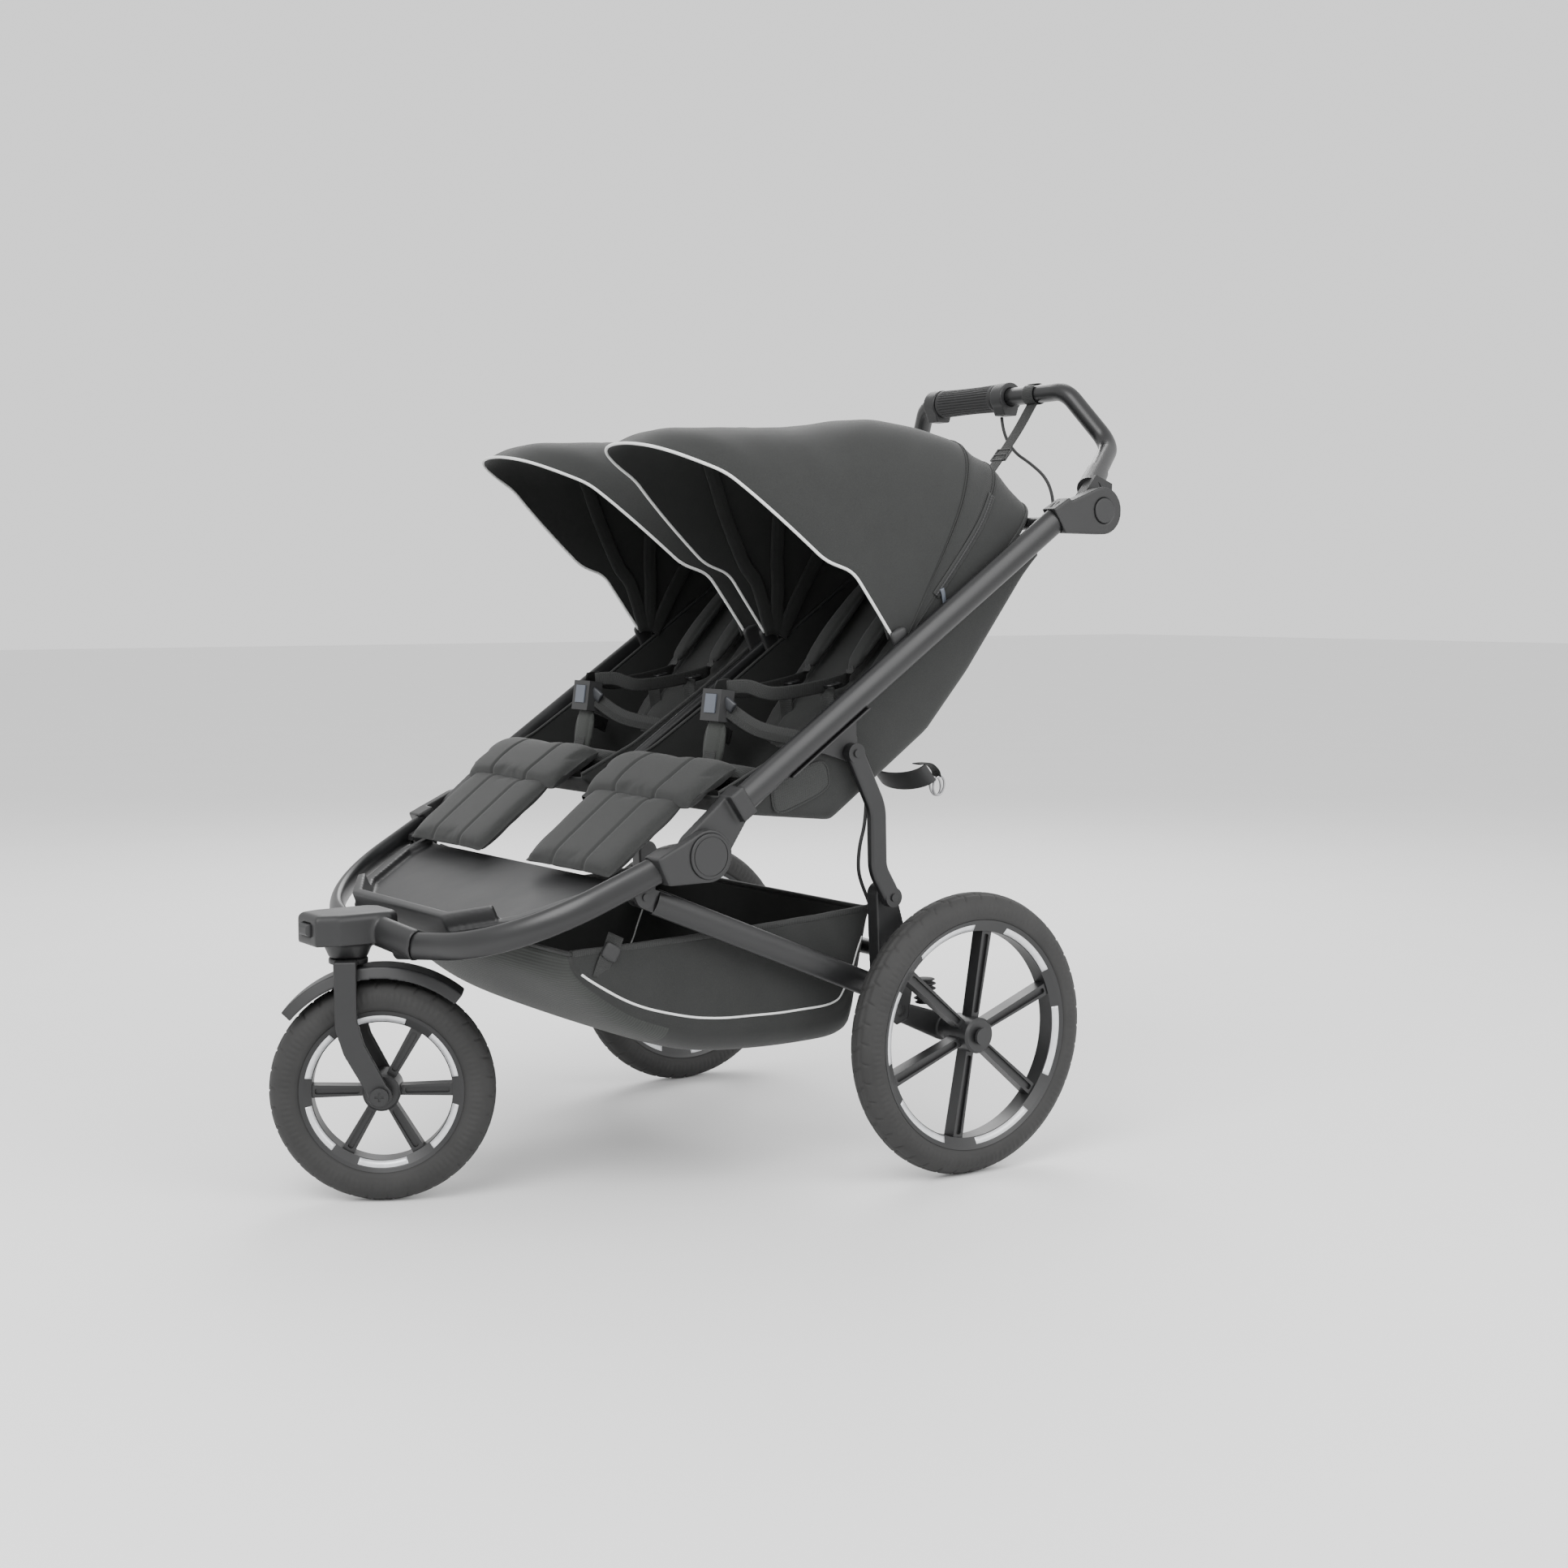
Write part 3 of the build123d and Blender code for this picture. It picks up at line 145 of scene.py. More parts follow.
def carried(path, section, up=(0, 0, 1), scale=1.0):
    """A flat section carried along a path: its first number runs along side = tangent x up, its second along
    side x tangent."""
    tangent = np.gradient(path, axis=0)
    tangent /= np.linalg.norm(tangent, axis=1)[:, None]
    side = np.cross(tangent, up)
    side /= np.linalg.norm(side, axis=1)[:, None]
    top = np.cross(side, tangent)
    size = np.broadcast_to(scale, len(path))[:, None, None]
    wide, high = section[None, :, :1], section[None, :, 1:2]
    return path[:, None] + size * (side[:, None] * wide + top[:, None] * high)


def round_steps(count):
    """Angles at even steps once round."""
    return np.linspace(0, 2 * math.pi, count, endpoint=False)


def oval(width, height, count=16, power=2.0):
    """Superellipse: cosine and sine of the angle, each raised to 2/power with its sign kept."""
    a = round_steps(count)
    c, s = np.cos(a), np.sin(a)
    e = 2 / power
    return np.stack([width / 2 * np.sign(c) * np.abs(c) ** e, height / 2 * np.sign(s) * np.abs(s) ** e], 1)


def quads(rows, cols, wrap_rows=False, wrap_cols=False, start=0):
    """Four-cornered faces of a grid numbered row by row, closed on itself where asked."""
    index = start + np.arange(rows * cols).reshape(rows, cols)
    index = np.vstack([index, index[:1]]) if wrap_rows else index
    index = np.hstack([index, index[:, :1]]) if wrap_cols else index
    return np.stack([index[:-1, :-1], index[1:, :-1], index[1:, 1:], index[:-1, 1:]], -1).reshape(-1, 4)


# ---- shapes into meshes ----
def linked(name, data):
    """A new object in the scene."""
    thing = bpy.data.objects.new(name, data)
    bpy.context.scene.collection.objects.link(thing)
    return thing


def points_of(mesh):
    """A mesh's points, one row each."""
    points = np.empty(len(mesh.vertices) * 3, np.float32)
    mesh.vertices.foreach_get("co", points)
    return points.reshape(-1, 3)


def move_points(mesh, points):
    """Each of a mesh's points to its row's place."""
    mesh.vertices.foreach_set("co", np.asarray(points, np.float32).ravel())
    mesh.update()


def mended(mesh, merge=0.0, outward=True):
    """The mesh with points nearer than merge made one, and its faces turned outwards."""
    work = bmesh.new()
    work.from_mesh(mesh)
    if merge:
        bmesh.ops.remove_doubles(work, verts=work.verts, dist=merge)
    if outward:
        bmesh.ops.recalc_face_normals(work, faces=work.faces)
    work.to_mesh(mesh)
    work.free()


def mesh_object(name, points, faces, material, uv=None, outward=True):
    """A smooth mesh from design points and faces, with its doubles merged and its faces turned outwards."""
    mesh = bpy.data.meshes.new(name)
    mesh.from_pydata(place(points), [], [list(map(int, f)) for f in faces])
    if uv is not None:
        layer = mesh.uv_layers.new(name="UVMap")
        corner = np.empty(len(mesh.loops), np.int64)
        mesh.loops.foreach_get("vertex_index", corner)
        layer.data.foreach_set("uv", np.asarray(uv, np.float32)[corner].ravel())
    if outward:
        mended(mesh, 2e-5)
    mesh.shade_smooth()
    for one in material if isinstance(material, list) else [material]:
        mesh.materials.append(one)
    return linked(name, mesh)


def grid_uv(grid):
    """Distances in metres along the two ways of a grid, averaged over its rows and over its columns."""
    down = np.linalg.norm(np.diff(grid, axis=0), axis=2).mean(1)
    along = np.linalg.norm(np.diff(grid, axis=1), axis=2).mean(0)
    v, u = np.meshgrid(np.r_[0, np.cumsum(down)], np.r_[0, np.cumsum(along)], indexing="ij")
    return np.stack([u, v], -1).reshape(-1, 2) / 1000


def tube_faces(rows, cols, start=0):
    """A closed tube: the grid's own faces wrapped round, and a fan to a middle point at each end."""
    body = quads(rows, cols, wrap_cols=True, start=start)
    ring = np.arange(cols)
    nxt = np.roll(ring, -1)
    first, last = start + rows * cols, start + rows * cols + 1
    low = np.stack([np.full(cols, first), start + ring, start + nxt], 1)
    base = start + (rows - 1) * cols
    high = np.stack([np.full(cols, last), base + nxt, base + ring], 1)
    return body.tolist() + low.tolist() + high.tolist()


def tube(name, grids, material):
    """One mesh from one or more closed tubes, each a grid of rings along its path."""
    grids = grids if isinstance(grids, list) else [grids]
    points, faces, uvs = [], [], []
    start = 0
    for grid in grids:
        rows, cols = grid.shape[:2]
        uv = grid_uv(grid)
        points += [grid.reshape(-1, 3), grid[0].mean(0)[None], grid[-1].mean(0)[None]]
        uvs += [uv, uv[:1], uv[-1:]]
        faces += tube_faces(rows, cols, start)
        start += rows * cols + 2
    return mesh_object(name, np.vstack(points), faces, material, np.vstack(uvs))


def strap(path, width, thick, across=(1, 0, 0)):
    """Flat webbing: a rounded oblong section carried along its path, lying across the given way."""
    return carried(np.asarray(path, float), oval(thick, width, 12, 5.0), up=across)


def thicken(piece, millimetres, offset=0.0):
    """A live wall on a sheet."""
    wall = piece.modifiers.new("Wall", "SOLIDIFY")
    wall.thickness = millimetres / 1000
    wall.offset = offset
    return piece


def bake(piece):
    """The piece's mesh with its modifiers worked into it."""
    bpy.context.view_layer.update()
    done = bpy.data.meshes.new_from_object(piece.evaluated_get(bpy.context.evaluated_depsgraph_get()))
    piece.modifiers.clear()
    piece.data = done
    return piece


def settle(piece, body, replaced=()):
    """The piece rides on its body and stands for what it replaces."""
    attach(piece, body)
    return finish_piece(piece, replaced)


def finish_piece(piece, replaced=()):
    """Hides the CAD nodes that the piece stands for."""
    if replaced:
        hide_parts(*([replaced] if isinstance(replaced, str) else replaced))
    return piece


def laid(name, grids, finish, body, replaced=()):
    """Closed tubes in a finish, settled on a body."""
    return settle(tube(name, grids, FINISH[finish]), body, replaced)


def on_both_seats(piece, stem, body, replaced="", folding=False):
    """The right seat's pad and its twin on the left, both settled; {} stands for the side."""
    mesh = piece.data.copy()
    move_points(mesh, points_of(mesh) + np.array([-2 * SEAT_X / 1000, 0, 0], np.float32))
    twin = linked(f"{stem}_left", mesh)
    piece.name = f"{stem}_right"
    for side, one in (("right", piece), ("left", twin)):
        settle(one, body.format(side), replaced.format(side))
        if folding:
            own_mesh(one)


# ---- shader maths ----
class Value:
    """A shader socket that takes Python's operators: each adds a Math node."""

    def __init__(self, paint, socket):
        self.paint, self.socket = paint, socket

    def maths(self, operation, *others):
        return self.paint.node("ShaderNodeMath", {"operation": operation}, dict(enumerate((self, *others))))

    def __add__(self, other):
        return self.maths("ADD", other)

    def __sub__(self, other):
        return self.maths("SUBTRACT", other)

    def __mul__(self, other):
        return self.maths("MULTIPLY", other)

    def __rsub__(self, other):
        return self.paint.node("ShaderNodeMath", {"operation": "SUBTRACT"}, {0: other, 1: self})

    __radd__ = __add__
    __rmul__ = __mul__

    def sine(self):
        return self.maths("SINE")

    def size(self):
        return self.maths("ABSOLUTE")

    def ramp(self, low, high):
        """0 at low, 1 at high and beyond."""
        return self.paint.node("ShaderNodeMapRange", {"clamp": True},
                               {"Value": self, "From Min": low, "From Max": high})


class Paint:
    """One material under construction."""

    def __init__(self, name):
        self.material = bpy.data.materials.new(name)
        self.material.use_nodes = True
        self.tree = self.material.node_tree
        self.shader = self.tree.nodes["Principled BSDF"]

    def node(self, kind, settings=None, inputs=None, output=0):
        """A node of a kind, its settings made first, then the values or links of its sockets."""
        made = self.tree.nodes.new(kind)
        for key, value in (settings or {}).items():
            if key == "stops":
                for n, (at, colour) in enumerate(value):
                    stop = made.color_ramp.elements[n] if n < 2 else made.color_ramp.elements.new(at)
                    stop.position, stop.color = at, (*colour, 1)
            else:
                setattr(made, key, value)
        for key, value in (inputs or {}).items():
            self.feed(made.inputs[key], value)
        return Value(self, made.outputs[output])

    def feed(self, socket, value):
        if isinstance(value, Value):
            self.tree.links.new(value.socket, socket)
        elif isinstance(value, (tuple, list)) and socket.type == "RGBA":
            socket.default_value = (*value[:3], 1)
        else:
            socket.default_value = value

    def where(self):
        """Object coordinates."""
        return self.node("ShaderNodeTexCoord", output=3)

    def split(self, vector):
        """A vector's three numbers."""
        parts = self.tree.nodes.new("ShaderNodeSeparateXYZ")
        self.feed(parts.inputs[0], vector)
        return [Value(self, socket) for socket in parts.outputs]

    def ways(self, follow=True):
        """Two numbers in metres that a weave runs along: the UV map's, or x and then y and z together."""
        if follow:
            return self.split(self.node("ShaderNodeUVMap", {"uv_map": "UVMap"}))[:2]
        x, y, z = self.split(self.where())
        return x, (y + z) * 0.72

    def noise(self, scale, detail=3.0, rough=0.55):
        return self.node("ShaderNodeTexNoise", {}, {"Vector": self.where(), "Scale": scale, "Detail": detail,
                                                    "Roughness": rough})

    def mix(self, mask, dark, light):
        made = self.tree.nodes.new("ShaderNodeMix")
        made.data_type = "RGBA"
        for key, value in ((0, mask), (6, dark), (7, light)):
            self.feed(made.inputs[key], value)
        return Value(self, made.outputs[2])

    def set(self, **sockets):
        for key, value in sockets.items():
            self.feed(self.shader.inputs[key.replace("_", " ")], value)
        return self

    def relief(self, height, depth, strength=0.5):
        """A bump of a depth in metres."""
        bump = self.node("ShaderNodeBump", {}, {"Strength": strength, "Distance": depth, "Height": height})
        self.feed(self.shader.inputs["Normal"], bump)
        return self


# ---- finishes ----
def times(colour, share, lift=0.0):
    """A colour with each number multiplied by a share, then lifted."""
    return [c * share + lift for c in colour]


def coated(name, colour, rough=0.42, grain=1400.0, depth=5e-5):
    """Paint or moulded plastic: fine orange-peel relief, slow changes of tone and gloss, dust on top."""
    p = Paint(name)
    slow = p.noise(9.0, 4.0)
    fine = p.noise(grain, 2.0, 0.7)
    upward = p.split(p.node("ShaderNodeNewGeometry", output=1))[2]
    dust = upward.ramp(0.35, 1.0) * slow.ramp(0.35, 0.75) * 0.22
    tone = p.mix(slow.ramp(0.3, 0.7), times(colour, 0.84), times(colour, 1.14))
    p.set(Base_Color=p.mix(dust, tone, times(colour, 1.5, 0.006)),
          Roughness=fine * 0.10 + slow * 0.16 + (rough - 0.13) + dust * 0.3)
    return p.relief(fine, depth, 0.35).material


def woven(name, dark, light, pitch=0.0013, follow=True, ribs=0.0, sheen=0.08, depth=2.5e-4):
    """Plain-weave cloth: threads over and under both ways, flecked yarn, faint slubs, and ribs if asked."""
    p = Paint(name)
    u, v = p.ways(follow)
    turn = 2 * math.pi / pitch
    weave = (u * turn).sine() * (v * turn).sine()
    fleck = p.noise(700.0, 2.0, 0.7)
    slub = p.noise(26.0, 4.0, 0.6)
    tone = weave * 0.18 + fleck.ramp(0.32, 0.7) * 0.55 + slub * 0.3
    height = weave * 0.35 + fleck * 0.4
    if ribs:
        rib = (v * (2 * math.pi / ribs)).sine()
        height = height + rib * 0.8
        tone = tone + rib * 0.14
    p.set(Base_Color=p.mix(tone.ramp(0.1, 0.95), dark, light), Roughness=fleck * 0.12 + 0.8,
          Sheen_Weight=sheen, Sheen_Roughness=0.5)
    return p.relief(height, depth, 0.6).material


def net(name, dark, light, pitch=0.0032, follow=True):
    """Spacer mesh: rows of round holes, painted darker inside as the shade in them, with a raised thread
    between.
    """
    p = Paint(name)
    u, v = p.ways(follow)
    turn = math.pi / pitch
    holes = (u * turn).sine().size() * (v * turn).sine().size()
    thread = 1 - holes.ramp(0.35, 0.75)
    # painted shade: the holes take the dark colour, the raised thread the light one
    p.set(Base_Color=p.mix(thread * 0.8 + p.noise(40.0) * 0.2, dark, light), Roughness=thread * 0.2 + 0.62,
          Sheen_Weight=0.05)
    return p.relief(thread, 5e-4, 0.7).material


def strapping(name, dark, light):
    """Webbing: ribs straight across the strap, thicker selvedge yarn, flecks."""
    p = Paint(name)
    u, v = p.ways()
    rib = (v * (2 * math.pi / 0.0021)).sine()
    yarn = (u * (2 * math.pi / 0.0016)).sine()
    fleck = p.noise(900.0, 2.0)
    tone = rib * 0.22 + yarn * 0.1 + fleck * 0.7
    p.set(Base_Color=p.mix(tone.ramp(0.0, 0.9), dark, light), Roughness=fleck * 0.15 + 0.62,
          Sheen_Weight=0.06)
    return p.relief(rib + yarn * 0.4, 3e-4, 0.6).material


def rubber(name, colour):
    """Tyre rubber: matt, cloudy, with a fine skin."""
    p = Paint(name)
    cloud = p.noise(14.0, 5.0, 0.6)
    skin = p.noise(1700.0, 2.0, 0.7)
    p.set(Base_Color=p.mix(cloud.ramp(0.3, 0.75), times(colour, 0.8), times(colour, 1.3, 0.004)),
          Roughness=cloud * 0.18 + 0.66)
    return p.relief(skin, 8e-5, 0.4).material


def reflector(name, colour):
    """Silver reflective film: small glass-bead cells that brighten and dull a little from place to place."""
    p = Paint(name)
    bead = p.node("ShaderNodeTexVoronoi", {"feature": "F1"}, {"Vector": p.where(), "Scale": 900.0})
    wear = p.noise(120.0, 4.0)
    p.set(Base_Color=p.mix(wear.ramp(0.3, 0.7), times(colour, 0.86), colour), Metallic=0.35,
          Roughness=wear * 0.2 + 0.24)
    return p.relief(bead, 8e-5, 0.3).material


def brushed(name, colour, rough=0.3):
    """Turned steel: fine rings and a little staining."""
    p = Paint(name)
    stain = p.noise(60.0, 4.0)
    fine = p.noise(2200.0, 2.0)
    p.set(Base_Color=p.mix(stain.ramp(0.3, 0.7), times(colour, 0.8), colour), Metallic=1.0,
          Roughness=fine * 0.12 + rough)
    return p.relief(fine, 3e-5, 0.3).material


def paint_floor(name):
    """Pale studio floor with the faintest mottling."""
    p = Paint(name)
    p.set(Base_Color=p.mix(p.noise(3.0), (0.80, 0.80, 0.80), (0.83, 0.83, 0.83)), Roughness=0.75)
    return p.material


def tint(name, description, colour):
    """A colour that a user would change."""
    return FloatVectorProperty(name=name, description=description, subtype="COLOR", size=3, default=colour)


def measure(name, description, default, low, high):
    """A length in metres that a user would change."""
    return FloatProperty(name=name, description=description, unit="LENGTH", default=default, min=low,
                         max=high)


class StrollerLooks(bpy.types.PropertyGroup):
    """Colours that a user would change."""

    cloth: tint("Cloth", "Main fabric, light thread", (0.021, 0.0225, 0.0215))
    cloth_dark: tint("Cloth shade", "Main fabric, dark thread", (0.0065, 0.007, 0.0067))
    crotch: tint("Crotch pad", "Crotch pad and basket front fabric", (0.036, 0.040, 0.036))
    metal: tint("Frame", "Frame paint", (0.0085, 0.0087, 0.0092))
    moulded: tint("Mouldings", "Moulded plastic", (0.0105, 0.0107, 0.0112))
    tyre: tint("Tyres", "Tyre rubber", (0.0165, 0.0163, 0.016))
    piping: tint("Piping", "Edge piping", (0.72, 0.73, 0.72))
    silver: tint("Reflectors", "Reflective film", (0.66, 0.67, 0.69))


class StrollerSizes(bpy.types.PropertyGroup):
    """Sizes that a user would change."""

    tread: measure("Tread depth", "Depth of the tyre's grooves", 0.0017, 0.0, 0.004)
    tread_blocks: IntProperty(name="Tread blocks", description="Blocks round a rear tyre", default=44, min=20,
                              max=120)
    piping: measure("Piping radius", "Half the thickness of the edge piping", 0.0021, 0.001, 0.004)
    webbing: measure("Webbing width", "Width of the harness webbing", 0.024, 0.015, 0.04)
    canopy_sag: measure("Canopy sag", "How far the roof cloth dips between its bows", 0.003, 0.0, 0.015)
    pad_cap: measure("Pad swell", "Furthest that a pad's cloth may puff out", 0.008, 0.0, 0.02)


FINISH = {}


class STROLLER_OT_finishes(bpy.types.Operator):
    """Makes every material and gives the CAD parts theirs"""

    bl_idname = "stroller.finishes"
    bl_label = "Finishes"

    def execute(self, context):
        looks = context.scene.stroller_looks
        dark, light = tuple(looks.cloth_dark), tuple(looks.cloth)
        crotch_dark, crotch_light = times(looks.crotch, 0.45), tuple(looks.crotch)
        FINISH.update(
            frame=coated("frame_paint", tuple(looks.metal), 0.36),
            casting=coated("cast_housing", tuple(looks.moulded), 0.48, 1100.0, 7e-5),
            moulded=coated("moulded_plastic", times(looks.moulded, 1.25), 0.52, 900.0, 8e-5),
            rim=coated("rim_plastic", times(looks.moulded, 1.05), 0.40),
            grip=coated("grip_rubber", times(looks.moulded, 1.2), 0.68, 700.0, 1e-4),
            buckle=coated("buckle_plastic", (0.030, 0.032, 0.036), 0.44),
            button=coated("button_plastic", (0.075, 0.085, 0.105), 0.40),
            tyre=rubber("tyre_rubber", tuple(looks.tyre)),
            silver=reflector("reflective_film", tuple(looks.silver)),
            steel=brushed("pin_steel", (0.42, 0.42, 0.43)),
            canopy=woven("canopy_cloth", dark, light, 0.0012),
            # painted shade: the canopy net's holes take half the cloth's dark thread colour
            canopy_net=net("canopy_net", times(dark, 0.5), times(light, 0.75)),
            seat=woven("seat_cloth", dark, light, 0.0014),
            pad=woven("pad_cloth", dark, light, 0.0015, follow=False, sheen=0.1),
            net=net("seat_net", dark, times(light, 1.15)),
            pad_net=net("pad_net", dark, light, 0.0034, follow=False),
            crotch=woven("crotch_cloth", crotch_dark, crotch_light, 0.0013, follow=False, sheen=0.1),
            basket=woven("basket_cloth", dark, times(light, 0.9), 0.0015),
            stretch=woven("stretch_cloth", crotch_dark, times(crotch_light, 0.85), 0.0016, ribs=0.0042),
            webbing=strapping("webbing", dark, times(light, 0.9)),
            piping=woven("piping", times(looks.piping, 0.85), tuple(looks.piping), 0.0011, sheen=0.1),
            floor=paint_floor("floor"),
        )
        by_slot = {
            "frame_black": "frame", "casting_black": "casting", "moulded_black": "moulded",
            "rim_black": "rim", "tyre_rubber": "tyre", "canopy_cloth": "canopy", "seat_cloth": "pad",
            "basket_cloth": "pad", "webbing": "pad", "buckle_grey": "buckle", "soft_rubber": "grip",
            "pin_steel": "steel", "bush_plastic": "moulded", "piping_white": "piping",
            "reflective": "silver",
        }
        slots = {part["node"]: part["material_slot"] for part in frame["record"]["subparts"]}
        for node, thing in frame["nodes"].items():
            finish = FINISH["button" if node.startswith("buckle_button") else by_slot[slots[node]]]
            thing.data.materials.clear()
            thing.data.materials.append(finish)
        return {"FINISHED"}


# ---- wheels ----
def on_wheel(points, centre, turn=0.0):
    """From a wheel's own frame, axle along x, to its place: turned about z, then moved to its centre."""
    x, y, z = points[..., 0], points[..., 1], points[..., 2]
    return np.stack([x * math.cos(turn) - y * math.sin(turn), x * math.sin(turn) + y * math.cos(turn), z],
                    -1) + np.array(centre)


def smooth_step(value, low, high):
    t = np.clip((value - low) / (high - low), 0, 1)
    return t * t * (3 - 2 * t)


def tyre_grid(wheel_r, tyre_r, rim_r, blocks, depth):
    """Ring surface: a circle of the tyre's radius carried round the axle, kept outside the rim's bed.

    Towards the axle it is pressed in by the tread: a groove wherever the sine of blocks times the angle round
    is near nought, half a block on at the shoulders, and along three lines at set angles across the crown.
    Fine lines run down the side walls.
    """
    round_count, across_count = 18 * blocks, 60
    a = round_steps(round_count)[:, None]
    b = np.linspace(-math.pi, math.pi, across_count, endpoint=False)[None, :]
    tilt = np.abs(np.degrees(b))
    crown = np.abs(np.sin(blocks / 2 * a + 1.2 * b))
    shoulder = np.abs(np.sin(blocks / 2 * a + math.pi / 2 - 0.8 * b))
    gap = 1 - smooth_step(np.where(tilt < 22, crown, shoulder), 0.05, 0.22)
    lines = np.exp(-(((tilt - 22) / 3.2) ** 2)) + np.exp(-((tilt / 3.0) ** 2)) * 0.7
    tread = np.clip(gap * (1 - smooth_step(tilt, 46, 56)) + lines, 0, 1) * depth
    edge = np.exp(-(((tilt - 57) / 3.5) ** 2)) * 0.5
    side = smooth_step(tilt, 62, 70) * (1 - smooth_step(tilt, 96, 104)) * 0.45 * (np.sin(3 * blocks * a) > 0)
    bead = np.exp(-(((tilt - 112) / 4.0) ** 2)) * 0.8
    r = tyre_r - tread - edge + side + bead
    ring = np.maximum(wheel_r - tyre_r + r * np.cos(b), rim_r)
    return np.stack([np.broadcast_to(r * np.sin(b), ring.shape), ring * np.cos(a), ring * np.sin(a)], -1)


def arcs(rim_r, bed, depth, phase, half_angle=19.0):
    """Strips on both sloping faces of the rim between the spokes: a radial line turned through an arc."""
    grids = []
    for side in (-1, 1):
        for k in range(6):
            a = np.radians(phase + 30 + 60 * k + np.linspace(-half_angle, half_angle, 25))[:, None]
            t = np.array([0.1, 0.14, 0.86, 0.9])
            lift = np.array([-0.4, 0.5, 0.5, -0.4])
            x = side * (bed - 8 + 6 * t + lift)
            r = rim_r - depth + (depth - 5) * t + lift * -0.4
            section = np.stack([np.broadcast_to(x, (25, 4)), r * np.cos(a), r * np.sin(a)], -1)
            under = section[:, ::-1] - np.array([side * 1.2, 0, 0])
            grids.append(np.concatenate([section, under], 1))
    return grids


class STROLLER_OT_wheels(bpy.types.Operator):
    """Treaded tyres and reflective arcs on the three wheels"""

    bl_idname = "stroller.wheels"
    bl_label = "Wheels"

    def execute(self, context):
        sizes = context.scene.stroller_sizes
        depth = sizes.tread * 1000
        front_blocks = round(sizes.tread_blocks * FRONT_WHEEL_R / REAR_WHEEL_R / 2) * 2
        rear = tyre_grid(REAR_WHEEL_R, REAR_TYRE_R, REAR_RIM_R, sizes.tread_blocks, depth)
        front = tyre_grid(FRONT_WHEEL_R, FRONT_TYRE_R, FRONT_RIM_R, front_blocks, depth)
        wheels = [("front", front, FRONT_AXLE, FRONT_STEER, "front_wheel",
                   (FRONT_RIM_R, FRONT_BED, RIM_DEPTH), 0)]
        for name, side in SIDES.items():
            wheels.append((f"rear_{name}", rear, (side * REAR_WHEEL_X, REAR_AXLE_Y, REAR_WHEEL_R), 0.0,
                           f"rear_wheel_{name}", (REAR_RIM_R, REAR_BED, RIM_DEPTH), 20))
        for name, grid, centre, turn, body, rim, phase in wheels:
            faces = quads(*grid.shape[:2], wrap_rows=True, wrap_cols=True)
            tyre = mesh_object(f"{name}_tread_tyre", on_wheel(grid, centre, turn).reshape(-1, 3), faces,
                               FINISH["tyre"])
            node = "front_tyre" if name == "front" else f"rear_tyre_{name[5:]}"
            settle(tyre, body, node)
            strips = [on_wheel(g, centre, turn) for g in arcs(*rim, phase)]
            laid(f"{name}_reflective_arcs", strips, "silver", body)
        return {"FINISHED"}


# ---- padded pieces ----
def pillow(width, length, thick, pull=0.28, crown=0.45, count=30):
    """Closed cushion over the square u, v from -1 to 1, in its own flat frame.

    Its plan is the square with each side's reach cut by the square of the other number, so the corners are
    rounded; its half thickness is (1 - u^4)(1 - v^4) to the crown's power, above and below.
    """
    u, v = np.meshgrid(np.linspace(-1, 1, count), np.linspace(-1, 1, count), indexing="ij")
    x = width / 2 * u * np.sqrt(1 - pull * v**2 * u**2)
    y = length / 2 * v * np.sqrt(1 - pull * u**2 * v**2)
    z = thick / 2 * ((1 - u**4) * (1 - v**4)) ** crown
    sheets = np.stack([np.stack([x, y, z], -1), np.stack([x, y, -z], -1)])
    faces = np.vstack([quads(count, count), quads(count, count, start=count * count)[:, ::-1]])
    return sheets.reshape(-1, 3), faces


def cloth_blown(piece, cap):
    """Cloth under pressure with no gravity for 20 frames, each point let move no further than cap metres."""
    scene = bpy.context.scene
    rest = points_of(piece.data)
    cloth = piece.modifiers.new("Cloth", "CLOTH")
    cloth.settings.use_pressure = True
    cloth.settings.uniform_pressure_force = 4.0
    cloth.settings.effector_weights.gravity = 0.0
    cloth.settings.quality = 4
    cloth.settings.mass = 0.3
    cloth.point_cache.frame_start, cloth.point_cache.frame_end = 1, 20
    for step in range(1, 21):
        scene.frame_set(step)
    move = points_of(piece.evaluated_get(bpy.context.evaluated_depsgraph_get()).data) - rest
    far = np.linalg.norm(move, axis=1)[:, None]
    piece.modifiers.clear()
    scene.frame_set(1)
    move_points(piece.data, rest + move * np.minimum(1, cap / np.maximum(far, 1e-9)))


def pad(name, size, to_place, seams, material, cap, voxel=0.005):
    """A stuffed pad: a pillow evened out in voxels, blown up as cloth, smoothed once, then sewn.

    seams(x, y) gives how deep the stitching pulls in, in millimetres, in the pad's flat frame; to_place
    carries flat points to design ones.
    """
    points, faces = pillow(*size)
    flat = mesh_object(name + "_flat", points - np.array([0, SHIFT_Y * 1000, 0]), faces, material)
    even = flat.modifiers.new("Even", "REMESH")
    even.mode, even.voxel_size = "VOXEL", voxel
    bake(flat)
    cloth_blown(flat, cap)
    smooth = flat.modifiers.new("Smooth", "SUBSURF")
    smooth.levels = smooth.render_levels = 1
    bake(flat)
    co = points_of(flat.data) * 1000.0
    pull = seams(co[:, 0], co[:, 1])
    co[:, 2] -= np.sign(co[:, 2]) * np.minimum(pull, np.abs(co[:, 2]) * 0.8)
    move_points(flat.data, place(to_place(co)))
    mended(flat.data)
    flat.data.materials.clear()
    flat.data.materials.append(material)
    flat.data.shade_smooth()
    return flat


def seam(distance, depth=4.0, width=3.2):
    """A bell-shaped furrow across its distance."""
    return depth * np.exp(-((distance / width) ** 2))


